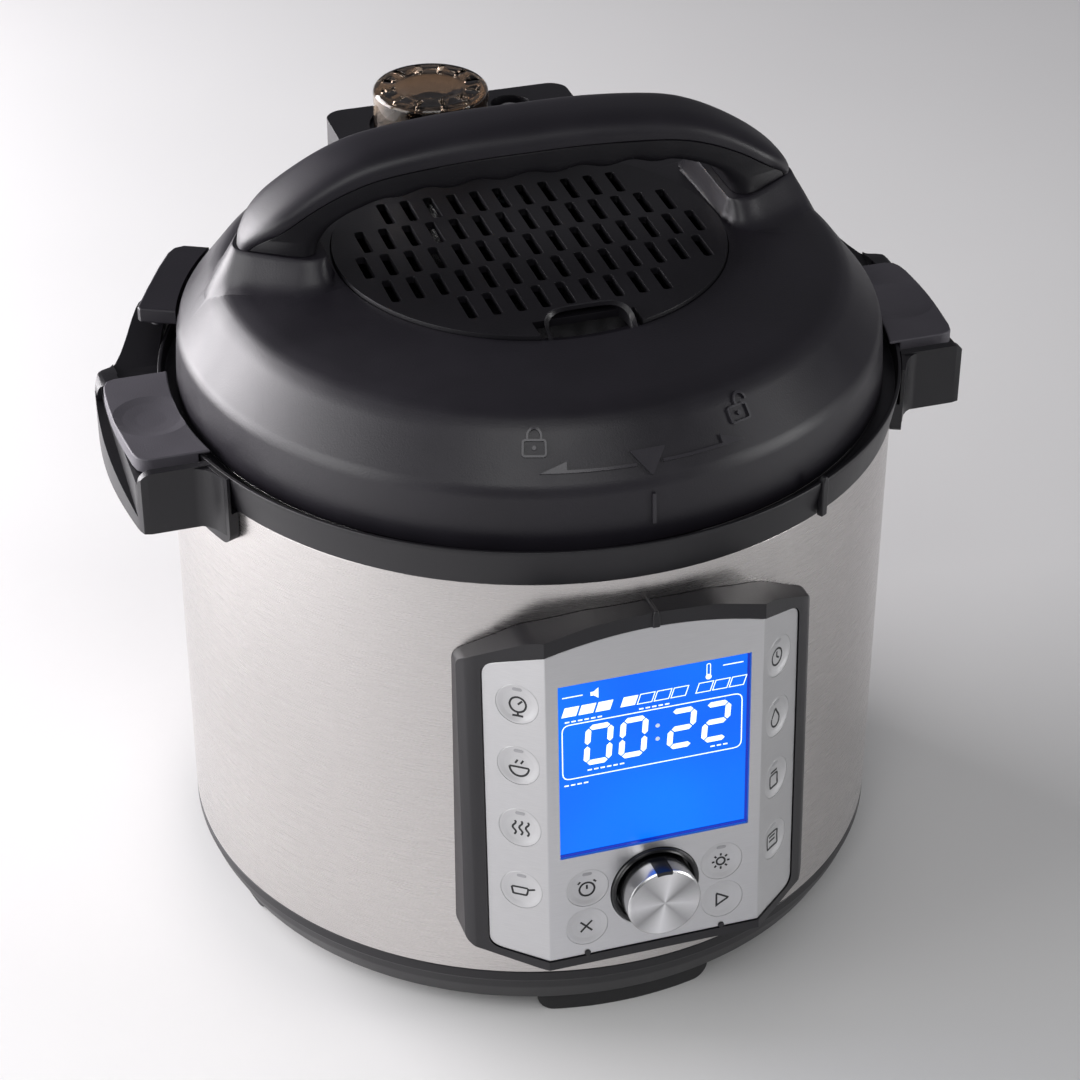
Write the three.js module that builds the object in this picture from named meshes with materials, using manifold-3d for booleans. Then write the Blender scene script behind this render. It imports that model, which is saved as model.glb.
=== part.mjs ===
import * as THREE from "three";
import { mergeVertices } from "three/addons/utils/BufferGeometryUtils.js";
import Module from "manifold-3d";

// An electric pressure cooker of about six litres, in millimetres.
// The origin is on the worktop, under the middle of the outline. +Z is up and the control panel faces -Y.
// The body, its ring and its lid are turned about the Z axis.

const wasm = await Module();
wasm.setup();

// ---- driving dimensions ----
const GAP = 0.3; // air left between two pieces that touch
const ROUND = 40; // segments of the large turned pieces
const INSIDE = 32; // segments of the turned pieces that stay inside
const DEG = Math.PI / 180;

const FOOT_TOP = 8.3;
const BASE_LOW = FOOT_TOP + GAP;
const STEEL_RADIUS = 143;
const STEEL_WALL = 0.8;
const STEEL_LOW = 30.5;
const RING_LOW = 213.6;
const RING_TOP = 229;
const RING_RADIUS = 146.1;

const POT_RADIUS = 111;
const POT_BOTTOM = 56;
const POT_RIM = 224.9;
const LINER_RADIUS = 121.6;
const LINER_BOTTOM = 42;

const GRIP_REACH = 170.4; // half the width over the two side handles
const GRIP_FRONT = 48; // half the length of a side handle
const GRIP_LOW = 203;
const GRIP_FLOOR = 224.2; // the level top of a side handle, under its pad
const PAD_TOP = 230.6;

const PANEL_OUT = 156; // distance of the panel's middle in front of the axis
const PANEL_HEIGHT = 140.6; // height of the panel's middle
const PANEL_TILT = 3.48 * DEG;
const CREASE = 42; // half width of the panel's flat middle facet
const FACE_EDGE = 61.5; // half width of the whole face
const FACE_DROP = 15.1; // how far the face's side edges stand behind its middle
const SIDE_TURN = Math.atan2(FACE_DROP, FACE_EDGE - CREASE);
const BUTTON_RADIUS = 8.2;
const KNOB_LOW = -58.7; // the knob's centre, below the panel's middle
const KNOB_RADIUS = 14.5;
const KNOB_FRONT = 11.7;

const SKIRT_LOW = 225;
const DOME_TOP = 276;
const GRILLE_RADIUS = 76.4;
const HINGE_Y = 68; // the grille's rear edge, where it hinges
const HANDLE_Y = 14; // the lid handle's centre line
const HANDLE_WIDTH = 32;
const HANDLE_FOOT = 284.9;
const DECK_TOP = 284.6;
const VALVE = [-12, 97]; // centre of the steam valve
const FLOAT = [24.5, 106]; // centre of the float valve
const FIN_LOW = 243.2;
const FIN_TURN = 26 * DEG; // how far behind the side handle's middle the fin stands
const LUGS = 6; // bayonet lugs on the lid, and tabs on the locking ring
const LUG_STEP = 2 * Math.PI / LUGS;

// The knob's face is the foremost point, and the condensation cup reaches as far back.
const DEPTH_FRONT = PANEL_OUT
  + (KNOB_RADIUS - KNOB_LOW) * Math.sin(PANEL_TILT) + KNOB_FRONT * Math.cos(PANEL_TILT);

// ---- materials ----
const finish = (color, roughness, metalness = 0) =>
  new THREE.MeshStandardMaterial({ color, roughness, metalness });
const BLACK = finish(0x1d1b1e, 0.5);
const CHARCOAL = finish(0x2b292d, 0.45);
const STEEL = finish(0xb9b6b3, 0.32, 1);
const BRIGHT = finish(0xd0d0d0, 0.2, 1);
const SILVER = finish(0xc4c4c6, 0.4, 0.6);
const BLUE = finish(0x0a50f0, 0.2);
const SMOKY = finish(0x4a3b30, 0.1);
const RUBBER = finish(0x17171a, 0.8);
const SILICONE = finish(0xc9ccd0, 0.6);
const GREEN = finish(0x1f5a37, 0.5);
const CLEAR = finish(0xd8dde0, 0.15);

// ---- shape helpers ----
const group = new THREE.Group();

function add(name, geometry, material, parent = group) {
  const mesh = new THREE.Mesh(geometry, material);
  mesh.name = name;
  parent.add(mesh);
  return mesh;
}

// A closed three.js geometry as a manifold, with its shared vertices merged.
function solid(geometry) {
  const bare = geometry.clone();
  bare.deleteAttribute("normal");
  bare.deleteAttribute("uv");
  const merged = mergeVertices(bare, 1e-4);
  const index = merged.index.array;
  const kept = [];
  for (let i = 0; i < index.length; i += 3) {
    const [a, b, c] = [index[i], index[i + 1], index[i + 2]];
    if (a !== b && b !== c && c !== a) kept.push(a, b, c);
  }
  return new wasm.Manifold(new wasm.Mesh({
    numProp: 3,
    vertProperties: new Float32Array(merged.attributes.position.array),
    triVerts: new Uint32Array(kept),
  }));
}

function geometryOf(manifold) {
  const mesh = manifold.getMesh();
  const geometry = new THREE.BufferGeometry();
  geometry.setAttribute("position", new THREE.BufferAttribute(mesh.vertProperties, 3));
  geometry.setIndex(new THREE.BufferAttribute(mesh.triVerts, 1));
  geometry.computeVertexNormals();
  return geometry;
}

const cut = (body, ...tools) =>
  geometryOf(tools.reduce((left, tool) => left.subtract(solid(tool)), solid(body)));
const join = (...bodies) =>
  geometryOf(bodies.slice(1).reduce((left, body) => left.add(solid(body)), solid(bodies[0])));
const common = (a, b) => geometryOf(solid(a).intersect(solid(b)));

// A profile of [radius, height] points, anticlockwise, turned about Z.
function lathe(profile, segments = ROUND) {
  const points = profile.map(([radius, height]) => new THREE.Vector2(radius, height));
  if (profile[0][0] > 0) points.push(points[0].clone());
  return new THREE.LatheGeometry(points, segments).rotateX(Math.PI / 2);
}

function box(x0, x1, y0, y1, z0, z1) {
  return new THREE.BoxGeometry(x1 - x0, y1 - y0, z1 - z0)
    .translate((x0 + x1) / 2, (y0 + y1) / 2, (z0 + z1) / 2);
}

// A cylinder along Z, or a cone when the two radii differ.
function rod(radius, z0, z1, x = 0, y = 0, segments = 24, topRadius = radius) {
  return new THREE.CylinderGeometry(topRadius, radius, z1 - z0, segments)
    .rotateX(Math.PI / 2).translate(x, y, (z0 + z1) / 2);
}

function outline(points) {
  return new THREE.Shape(points.map(([x, y]) => new THREE.Vector2(x, y)));
}

function roundedRectangle(x0, x1, y0, y1, radius) {
  const shape = new THREE.Shape();
  shape.absarc(x1 - radius, y1 - radius, radius, 0, 90 * DEG);
  shape.absarc(x0 + radius, y1 - radius, radius, 90 * DEG, 180 * DEG);
  shape.absarc(x0 + radius, y0 + radius, radius, 180 * DEG, 270 * DEG);
  shape.absarc(x1 - radius, y0 + radius, radius, 270 * DEG, 360 * DEG);
  return shape;
}

// A flat shape raised from z0 to z1, with an optional chamfer kept inside the shape.
function slab(shape, z0, z1, chamfer = 0, curveSegments = 5) {
  return new THREE.ExtrudeGeometry(shape, {
    depth: z1 - z0 - 2 * chamfer,
    bevelEnabled: chamfer > 0,
    bevelThickness: chamfer,
    bevelSize: chamfer,
    bevelOffset: -chamfer,
    bevelSegments: 1,
    curveSegments,
  }).translate(0, 0, z0 + chamfer);
}

// A sector of a ring, between two radii and two angles.
function sector(inner, outer, from, to) {
  const shape = new THREE.Shape();
  shape.absarc(0, 0, outer, from, to, false);
  shape.absarc(0, 0, inner, to, from, true);
  return shape;
}

// The geometry itself for side 1, and its mirror image in X for side -1.
function mirrored(geometry, side) {
  if (side > 0) return geometry;
  const copy = geometry.index ? geometry.toNonIndexed() : geometry.clone();
  copy.scale(-1, 1, 1);
  const order = [...Array(copy.attributes.position.count).keys()];
  for (let i = 0; i < order.length; i += 3) [order[i], order[i + 1]] = [order[i + 1], order[i]];
  copy.setIndex(order);
  copy.computeVertexNormals();
  return copy;
}

// A side view of [y, z] points carried from x0 to x1.
function profileBlock(sideView, x0, x1) {
  const carried = new THREE.ExtrudeGeometry(outline(sideView), { depth: x1 - x0, bevelEnabled: false });
  return carried.applyMatrix4(new THREE.Matrix4().set(0, 0, 1, x0, 1, 0, 0, 0, 0, 1, 0, 0, 0, 0, 0, 1));
}

// ---- base ----
const BASE_FLOOR = 106; // inner radius of the base, where the bottom cover sits
const INLET_HALF = 13.5;

function bottomBase() {
  const tub = lathe([
    [BASE_FLOOR, BASE_LOW], [130, BASE_LOW], [136.3, 11.5], [141.2, 21], [STEEL_RADIUS, 26.5],
    [STEEL_RADIUS, STEEL_LOW - GAP], [141.8, STEEL_LOW - GAP], [141.8, 40], [138.8, 40],
    [138.8, 27], [132, 13.5], [BASE_FLOOR, 12],
  ]);
  return cut(tub, box(-INLET_HALF - GAP, INLET_HALF + GAP, 117, 150, 11.7, 29.2));
}

function bottomCover() {
  const vents = [];
  for (let row = -3; row <= 3; row++) {
    for (const side of [-1, 1]) {
      vents.push(box(side * 42 - 24, side * 42 + 24, row * 12 - 2, row * 12 + 2, 0, 20));
    }
  }
  return cut(rod(BASE_FLOOR - 0.6, 9, 11.7, 0, 0, ROUND), ...vents);
}

function foot(angle) {
  const half = 16 * DEG;
  return slab(sector(107, 131.4, angle - half, angle + half), 0, FOOT_TOP, 1);
}

function powerInlet() {
  const block = box(-INLET_HALF, INLET_HALF, 117.6, 137.6, 12, 28.9);
  const socket = box(-11.2, 11.2, 122, 138, 14.2, 26.8);
  const pins = [[-7, 18.8], [7, 18.8], [0, 22.6]]
    .map(([x, z]) => box(x - 1, x + 1, 121, 131, z - 2, z + 2));
  return join(cut(block, socket), ...pins);
}

function steelHousing() {
  const inner = STEEL_RADIUS - STEEL_WALL;
  const top = RING_LOW - GAP;
  const tube = lathe([
    [inner, STEEL_LOW], [STEEL_RADIUS, STEEL_LOW], [STEEL_RADIUS, top], [inner, top],
  ]);
  const panelOpening = box(-54, 54, -150, -100, 64, 184);
  return cut(tube, panelOpening);
}

const RING_FLOOR = 222.5;
const OPEN_MARK = (30.5 - 90) * DEG; // where the ring's raised mark stands

function topRing() {
  const ring = lathe([
    [124.5, 216], [139, 216], [139, 206], [141.8, 206], [141.8, RING_LOW], [143.6, RING_LOW],
    [RING_RADIUS, 227.6], [RING_RADIUS, RING_TOP], [144.7, RING_TOP], [144.2, RING_FLOOR],
    [124.5, RING_FLOOR],
  ]);
  const openMark = box(144.4, 147.2, -1.5, 1.5, 214.5, 231.5).rotateZ(OPEN_MARK);
  return join(ring, openMark);
}

// ---- side handles ----
const GRIP_CORNER = 165.9; // where the bowed outer edge starts, at the front
const GRIP_WALL = 3.5;
const BAND_IN = 166.2; // inner edge of the low outer band
const TAB_FRONT = -23.2 * DEG; // the tab that laps over the steel ends here
const TAB_REAR = 30 * DEG;
const TAB_RADIUS = STEEL_RADIUS + 5;
const ROOM_TOP = 260; // tools that clear the ring and the lid end up here

// The outline of the right-hand side handle, seen from above.
function gripPlan() {
  const plan = new THREE.Shape();
  plan.moveTo(134, -GRIP_FRONT);
  plan.lineTo(161.8, -GRIP_FRONT);
  plan.quadraticCurveTo(GRIP_CORNER - 0.3, -GRIP_FRONT, GRIP_CORNER, -GRIP_FRONT + 3.4);
  plan.quadraticCurveTo(2 * GRIP_REACH - GRIP_CORNER, -10, GRIP_CORNER + 0.9, 28);
  plan.quadraticCurveTo(165.4, 37, 160.4, 38.5);
  plan.quadraticCurveTo(156, 42, 151.4, 52);
  plan.lineTo(142, 71);
  plan.lineTo(131, 84);
  plan.lineTo(118, 77);
  return plan;
}

// The body of the right-hand side handle; the left one is its mirror image.
function sideHandle() {
  const raised = slab(gripPlan(), GRIP_LOW, 236, 0, 8);
  const level = box(110, 180, -60, 25, GRIP_FLOOR, 250);
  const slope = profileBlock([
    [20, GRIP_FLOOR], [34, GRIP_FLOOR], [66, 236], [90, 236.5], [90, 250], [20, 250],
  ], 105, 185);
  const walls = join(
    box(130, 162.4, -GRIP_FRONT, -GRIP_FRONT + GRIP_WALL, GRIP_FLOOR - 2, RING_TOP),
    box(160, 169, 23.8, 36, GRIP_FLOOR - 2, RING_TOP - 1),
  );
  const shaped = join(cut(raised, level, slope), common(walls, slab(gripPlan(), 200, 232, 0, 8)));
  const underside = box(152, 164.6, -GRIP_FRONT + GRIP_WALL + 0.5, 30, 195, 219);
  const band = profileBlock([[-43, 209], [24, 221], [24, 240], [-43, 240]], BAND_IN, 180);
  const flange = common(
    slab(sector(STEEL_RADIUS + GAP, TAB_RADIUS, TAB_FRONT, TAB_REAR), 199.5, 212.8, 0, 20),
    lathe([[100, 190], [TAB_RADIUS, 190], [TAB_RADIUS, 240], [100, 240]]),
  );
  const ringRoom = lathe([[90, RING_LOW - 0.4], [RING_RADIUS + GAP, RING_LOW - 0.4],
    [RING_RADIUS + GAP, ROOM_TOP], [90, ROOM_TOP]]);
  const steelRoom = rod(STEEL_RADIUS + GAP, 190, 220, 0, 0, ROUND);
  return cut(join(shaped, flange), underside, band, ringRoom, steelRoom);
}

// The raised pad on a side handle, with a shallow hollow for the thumb; its inner edge laps over the ring.
function handlePad() {
  const plan = new THREE.Shape();
  plan.moveTo(136, -40);
  plan.lineTo(158.5, -40);
  plan.quadraticCurveTo(164.2, -40, 165.2, -33);
  plan.quadraticCurveTo(168.4, -8, 166.4, 18);
  plan.quadraticCurveTo(165.6, 23, 160.5, 23);
  plan.lineTo(136, 23);
  const pad = slab(plan, GRIP_FLOOR + 0.3, PAD_TOP, 1.2, 8);
  const thumbRadius = 80;
  const thumbDepth = 1.4;
  const thumb = new THREE.SphereGeometry(thumbRadius, 12, 56).rotateX(Math.PI / 2)
    .translate(152.5, -10, PAD_TOP + thumbRadius - thumbDepth);
  const clear = RING_RADIUS + 0.6;
  const lap = 142.6;
  const ringRoom = lathe([[90, 200], [clear, 200], [clear, RING_TOP + GAP], [lap, RING_TOP + GAP],
    [lap, ROOM_TOP], [90, ROOM_TOP]]);
  return cut(pad, ringRoom, thumb);
}

// ---- inside the body ----
function innerLiner() {
  const wall = 1;
  return lathe([
    [30, LINER_BOTTOM], [LINER_RADIUS - 6, LINER_BOTTOM], [LINER_RADIUS, LINER_BOTTOM + 6],
    [LINER_RADIUS, 214.5], [137.5, 214.5], [137.5, 215.7], [LINER_RADIUS - wall, 215.7],
    [LINER_RADIUS - wall, LINER_BOTTOM + 7], [LINER_RADIUS - 7, LINER_BOTTOM + 1.2],
    [30, LINER_BOTTOM + 1.2],
  ], INSIDE);
}

// The metal ring that holds the lid, with six tabs that point inwards.
function lockingRing() {
  const ring = lathe([
    [123.4, 222.8], [138.5, 222.8], [138.5, 224.2], [124.9, 224.2], [124.9, 232], [123.4, 232],
  ]);
  const tabs = [];
  for (let i = 0; i < LUGS; i++) {
    const middle = i * LUG_STEP;
    tabs.push(slab(sector(120.6, 124.2, middle - 9 * DEG, middle + 9 * DEG), 230.6, 232, 0, 2));
  }
  return join(ring, ...tabs);
}

const SENSOR_RADIUS = 15.6;

function heatingPlate() {
  const hole = SENSOR_RADIUS + 0.8;
  const top = POT_BOTTOM - GAP;
  return lathe([[hole, 46], [92, 46], [96, 50], [96, top], [hole, top]], INSIDE);
}

function sensorButton() {
  const top = POT_BOTTOM - GAP;
  const low = top - 4;
  return lathe([[0, 36], [4.5, 36], [4.5, low], [SENSOR_RADIUS, low], [SENSOR_RADIUS, top], [0, top]], 24);
}

// The spring under the sensor, a helix drawn as a tube whose ends are closed.
function sensorSpring() {
  const turns = 3;
  const low = 39;
  const high = POT_BOTTOM - GAP - 5.2;
  const points = [];
  const steps = turns * 8;
  for (let i = 0; i <= steps; i++) {
    const angle = i * 45 * DEG;
    const height = low + (high - low) * i / steps;
    points.push(new THREE.Vector3(8 * Math.cos(angle), 8 * Math.sin(angle), height));
  }
  const wire = new THREE.Shape().absarc(0, 0, 0.7, 0, 360 * DEG);
  return new THREE.ExtrudeGeometry(wire, {
    steps,
    curveSegments: 5,
    extrudePath: new THREE.CatmullRomCurve3(points),
  });
}

function innerPot() {
  const wall = 1;
  const bend = 14; // radius of the corner between wall and floor
  const bendPoint = (radius, angle) =>
    [POT_RADIUS - bend + radius * Math.cos(angle), POT_BOTTOM + bend + radius * Math.sin(angle)];
  const outer = [];
  const inner = [];
  for (let i = 0; i <= 3; i++) {
    const angle = (-90 + i * 30) * DEG;
    outer.push(bendPoint(bend, angle));
    inner.unshift(bendPoint(bend - wall, angle));
  }
  return lathe([
    [0, POT_BOTTOM], ...outer, [POT_RADIUS, POT_RIM - 1.2], [119.8, POT_RIM - 1.2], [119.8, POT_RIM],
    [POT_RADIUS - wall, POT_RIM], ...inner, [0, POT_BOTTOM + wall],
  ], INSIDE);
}

function powerBoard() {
  const board = box(-48, 48, -34, 34, 20, 21.6);
  const parts = [
    box(-38, -12, -24, 2, 21, 35),
    rod(7, 21, 36, 14, -16, 20),
    rod(7, 21, 36, 32, -16, 20),
    box(8, 40, 8, 24, 21, 33),
  ];
  return join(board, ...parts);
}

// ---- condensation cup at the back ----
const CUP_HALF = 31;
const CUP_LOW = 152;
const CUP_TOP = 198;
const CUP_NEAR = 147.6;

function condensationCup() {
  const plan = (inset) => roundedRectangle(-CUP_HALF + inset, CUP_HALF - inset,
    CUP_NEAR + inset, DEPTH_FRONT - inset, 7 - inset);
  return cut(slab(plan(0), CUP_LOW, CUP_TOP, 0, 5), slab(plan(1.8), CUP_LOW + 2, CUP_TOP + 5, 0, 5));
}

function cupBracket() {
  const rail = CUP_HALF + 0.6;
  const plate = box(-rail - 4, rail + 4, 130, 156, CUP_LOW - 4, CUP_TOP + 3);
  const room = box(-rail, rail, CUP_NEAR - 0.5, 160, CUP_LOW - 10, CUP_TOP + 10);
  const steelRoom = rod(STEEL_RADIUS + GAP, 140, 210, 0, 0, ROUND);
  return cut(plate, room, steelRoom);
}

// ---- control panel, in its own frame: x to the right, y up the face, z out of the face ----
const panel = new THREE.Group();
panel.position.set(0, -PANEL_OUT, PANEL_HEIGHT);
panel.rotation.x = 90 * DEG - PANEL_TILT;
group.add(panel);
panel.updateMatrix();

const facets = {};
for (const [name, side] of [["left", -1], ["right", 1]]) {
  const facet = new THREE.Group();
  facet.position.x = side * CREASE;
  facet.rotation.y = side * SIDE_TURN;
  panel.add(facet);
  facet.updateMatrix();
  facets[name] = facet;
}

const FACE_TOP = [[-FACE_EDGE, 44.5], [-CREASE, 51.4], [-20, 55.4], [0, 56.6],
  [20, 55.4], [CREASE, 51.4], [FACE_EDGE, 44.5]];
const FACE_FLOOR = [[FACE_EDGE, -81.8], [CREASE, -84.4], [-CREASE, -84.4], [-FACE_EDGE, -81.8]];

// The front outline of the face, moved outwards by a margin.
function faceOutline(margin) {
  const grow = ([x, y]) => {
    const atSide = Math.abs(x) === FACE_EDGE;
    return [atSide ? x + Math.sign(x) * margin : x, y + Math.sign(y) * margin];
  };
  return outline([...FACE_TOP, ...FACE_FLOOR].map(grow).reverse());
}

// An [x, z] section carried along the panel's height.
function alongPanel(section) {
  return new THREE.ExtrudeGeometry(outline(section), { depth: 170, bevelEnabled: false })
    .rotateX(Math.PI / 2).translate(0, 75, 0);
}

// A sheet of even depth with the panel's three-sided section; its middle stands at "front".
function facetSheet(front, depth) {
  const edge = FACE_EDGE + 6;
  const drop = FACE_DROP * (edge - CREASE) / (FACE_EDGE - CREASE);
  const upper = [[edge, front - drop], [CREASE, front], [-CREASE, front], [-edge, front - drop]];
  const lower = upper.map(([x, y]) => [x, y - depth]).reverse();
  return alongPanel([...upper, ...lower]);
}

const SIDE_BUTTONS = [29.8, 3.1, -24.7, -53.2];
const SIDE_BUTTON_OUT = 11;
const INNER_BUTTONS = [[26.8, -53.4], [27.2, -71.2]];
const LCD_HALF = [37, 37.8];
const KNOB_HOLE = 17.5;

function buttonHoles() {
  const holes = [];
  for (const [x, y] of INNER_BUTTONS) {
    for (const side of [-1, 1]) holes.push(rod(BUTTON_RADIUS + GAP, -6, 6, side * x, y, 16));
  }
  for (const side of [-1, 1]) {
    const facet = side < 0 ? facets.left : facets.right;
    for (const y of SIDE_BUTTONS) {
      const hole = rod(BUTTON_RADIUS + GAP, -6, 6, side * SIDE_BUTTON_OUT, y, 16);
      holes.push(hole.applyMatrix4(facet.matrix));
    }
  }
  return holes;
}

function facePlate() {
  const sheet = common(slab(faceOutline(0), -40, 10), facetSheet(0, 2));
  const [w, h] = LCD_HALF;
  return cut(sheet, box(-w - GAP, w + GAP, -h - GAP, h + GAP, -8, 8),
    rod(KNOB_HOLE + GAP, -8, 8, 0, KNOB_LOW, 28), ...buttonHoles());
}

function panelBezel() {
  const rim = outline([[69, 44.5], [47, 57], [0, 63], [-47, 57], [-69, 44.5],
    [-69, -84], [-44, -88.4], [44, -88.4], [69, -84]]);
  const right = [[69, -46], [69, -22.5], [FACE_EDGE + 1.4, -15.6], [CREASE + 0.4, 0.5]];
  const left = right.map(([x, z]) => [-x, z]).reverse();
  const block = alongPanel([...right, ...left]);
  const pocket = common(slab(faceOutline(GAP), -60, 30), facetSheet(22.7, 25));
  const steelRoom = rod(STEEL_RADIUS + GAP, 0, 260, 0, 0, ROUND)
    .applyMatrix4(panel.matrix.clone().invert());
  const hollow = box(-52, 52, -79, 44, -60, -14);
  const opening = box(-40, 40, -78, 42, -15, 10);
  return cut(common(block, slab(rim, -60, 10)), pocket, steelRoom, hollow, opening, ...buttonHoles());
}

function display() {
  const [w, h] = LCD_HALF;
  return box(-w, w, -h, h, -5, -0.5);
}

function pushButton() {
  return lathe([[0, -3.6], [BUTTON_RADIUS, -3.6], [BUTTON_RADIUS, -0.2], [0, -0.7]], 16);
}

function knobSeat() {
  return lathe([[4, -4.2], [KNOB_HOLE, -4.2], [KNOB_HOLE, 0.4], [KNOB_HOLE - 0.5, 0.9], [15.4, 0.3],
    [15.4, -3], [4, -3]], 28);
}

function knob() {
  const body = lathe([[0, 7], [3.3, 7], [3.3, -1.6], [KNOB_RADIUS - 0.3, -1.6], [KNOB_RADIUS, -1],
    [KNOB_RADIUS, KNOB_FRONT - 0.6], [KNOB_RADIUS - 0.6, KNOB_FRONT], [0, KNOB_FRONT]], 28);
  return cut(body, box(-1.1, 1.1, 10.5, 15, KNOB_FRONT - 1, KNOB_FRONT + 1));
}

function knobShaft() {
  return lathe([[0, -19], [5, -19], [5, -17.6], [3, -17.6], [3, 6.7], [0, 6.7]], 16);
}

function controlBoard() {
  return cut(box(-50, 50, -76, 42, -16.5, -15), rod(3.6, -20, -10, 0, KNOB_LOW));
}

// ---- lid ----
const GRILLE_EDGE = GRILLE_RADIUS + 0.5; // the recess in the lid that holds the grille
const GRILLE_LOW = 274.6;
const GRILLE_TOP = 277.6;
const RECESS = GRILLE_LOW - 1;
const THROAT = 71; // radius of the opening under the grille
const CEILING = RECESS - 1.8; // the lid's inner face, next to the throat
const SKIRT_IN = 136;
const COVER_OUTER = [[139, SKIRT_LOW], [138.4, 236], [137.5, 246.8], [136.4, 249.8], [123.6, 266.4],
  [119.4, 270], [113.5, 271.7], [GRILLE_EDGE, DOME_TOP]];
const COVER_INNER = [[112.8, 268.8], [117.6, 267.4], [121.2, 264.4], [133.4, 248.6], [134.4, 246.6],
  [SKIRT_IN, SKIRT_LOW]];
const VALVE_HOLE = 8.6;
const SCREW_HOLE = 2.9;

// The flared foot under one end of the lid handle.
function pedestal(side) {
  const half = HANDLE_WIDTH / 2 + 1;
  const plan = roundedRectangle(87, 112.5, HANDLE_Y - half, HANDLE_Y + half, 11);
  const flare = new THREE.ExtrudeGeometry(plan, {
    depth: 0.5, bevelThickness: 21, bevelSize: 15, bevelSegments: 1, curveSegments: 3,
  }).translate(0, 0, HANDLE_FOOT - GAP - 21.5);
  return mirrored(flare, side);
}

const SCREW_X = 98;

function lidCover() {
  const shell = lathe([...COVER_OUTER, [GRILLE_EDGE, RECESS], [THROAT, RECESS], [THROAT, CEILING],
    ...COVER_INNER]);
  const cavity = lathe([[0, 220], [SKIRT_IN, 220], ...[...COVER_INNER].reverse(), [THROAT, CEILING],
    [0, CEILING]]);
  const opening = rod(GRILLE_EDGE, RECESS, 300, 0, 0, ROUND);
  const throat = rod(THROAT, 260, 300, 0, 0, ROUND);
  const body = join(shell, pedestal(1), pedestal(-1));
  const screwHoles = [-SCREW_X, SCREW_X].map((x) => rod(SCREW_HOLE, 240, 300, x, HANDLE_Y, 12));
  return cut(body, cavity, opening, throat,
    rod(VALVE_HOLE, 250, 300, ...VALVE), rod(6.5, 250, 300, ...FLOAT), ...screwHoles);
}

// One side plate of the lid, behind the side handle, with its locating pin below.
function lidFin() {
  const plate = slab(roundedRectangle(128, 151, -27.3, 27.3, 3), FIN_LOW, FIN_LOW + 6.4, 1, 3);
  const pin = rod(3.2, FIN_LOW - 3.4, FIN_LOW + 1, 144.5, -19, 16);
  const beside = 138.1;
  const coverRoom = lathe([[90, 220], [beside, 220], [beside, 260], [90, 260]]);
  const fin = join(plate, pin).rotateZ(FIN_TURN);
  return mirrored(cut(fin, coverRoom), -1);
}

const SLOT_LONG = 17;
const SLOT_WIDE = 3;
const ROW_STEP = 20.5;
const COLUMN_STEP = 9.5;

// The plate over the steam chamber: staggered rows of slots, and a finger tab at its front.
function grille() {
  const slots = [];
  const end = SLOT_LONG / 2;
  const half = SLOT_WIDE / 2;
  for (let row = -3; row <= 3; row++) {
    const y = row * ROW_STEP - 4;
    const shift = (row & 1) * COLUMN_STEP / 2;
    for (let column = -7; column <= 7; column++) {
      const x = column * COLUMN_STEP + shift;
      const reach = Math.hypot(Math.abs(x) + half, Math.abs(y) + end);
      const underTab = Math.abs(x) < 22 && y < -50;
      const behind = y + end > HINGE_Y - 5;
      if (reach > THROAT - 1 || underTab || behind) continue;
      slots.push(box(x - half, x + half, y - end, y + end, 270, 290));
    }
  }
  const rear = box(-90, 90, HINGE_Y - GAP, 100, 260, 300);
  const tab = slab(roundedRectangle(-18, 18, -71, -57, 5), GRILLE_LOW + 1, 282.2, 1.5, 3);
  return join(cut(rod(GRILLE_RADIUS, GRILLE_LOW, GRILLE_TOP, 0, 0, ROUND), rear, ...slots), tab);
}

// Half of the lid handle's side view: the outer curve, the seam, and the curve of the grip.
const HANDLE_OUTER = [[0, 325.4], [30, 324.8], [58, 321.5], [74, 316.6], [90, 308], [104, 297.6],
  [110, 290], [111.5, HANDLE_FOOT]];
const HANDLE_SEAM = [[0, 315.2], [28, 314.8], [56, 312.6], [72, 308.6], [86, 301.6], [97, 293.6],
  [103, 288.4], [105.2, HANDLE_FOOT]];
const HANDLE_INNER = [[0, 304.6], [50, 303.6], [68, 300.6], [80, 295.6], [86, 289.6], [88, HANDLE_FOOT]];

// The whole curve from left to right, from its right-hand half.
function archPoints(half, shift = 0) {
  const left = half.slice(1).reverse().map(([x, z]) => [-x, z]);
  const points = [...left, ...half].map(([x, z]) => new THREE.Vector2(x, z - (z > HANDLE_FOOT ? shift : 0)));
  return new THREE.SplineCurve(points).getPoints(26);
}

function archBetween(upper, lower, chamfer) {
  const shape = new THREE.Shape([...upper, ...[...lower].reverse()].reverse());
  return slab(shape, 0, HANDLE_WIDTH, chamfer).rotateX(Math.PI / 2)
    .translate(0, HANDLE_Y + HANDLE_WIDTH / 2, 0);
}

function handlePlan() {
  const half = HANDLE_WIDTH / 2;
  return slab(roundedRectangle(-111.6, 111.6, HANDLE_Y - half, HANDLE_Y + half, half - 0.1),
    HANDLE_FOOT, 340, 0, 8);
}

function handleShell() {
  return common(archBetween(archPoints(HANDLE_OUTER), archPoints(HANDLE_SEAM), 0), handlePlan());
}

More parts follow.
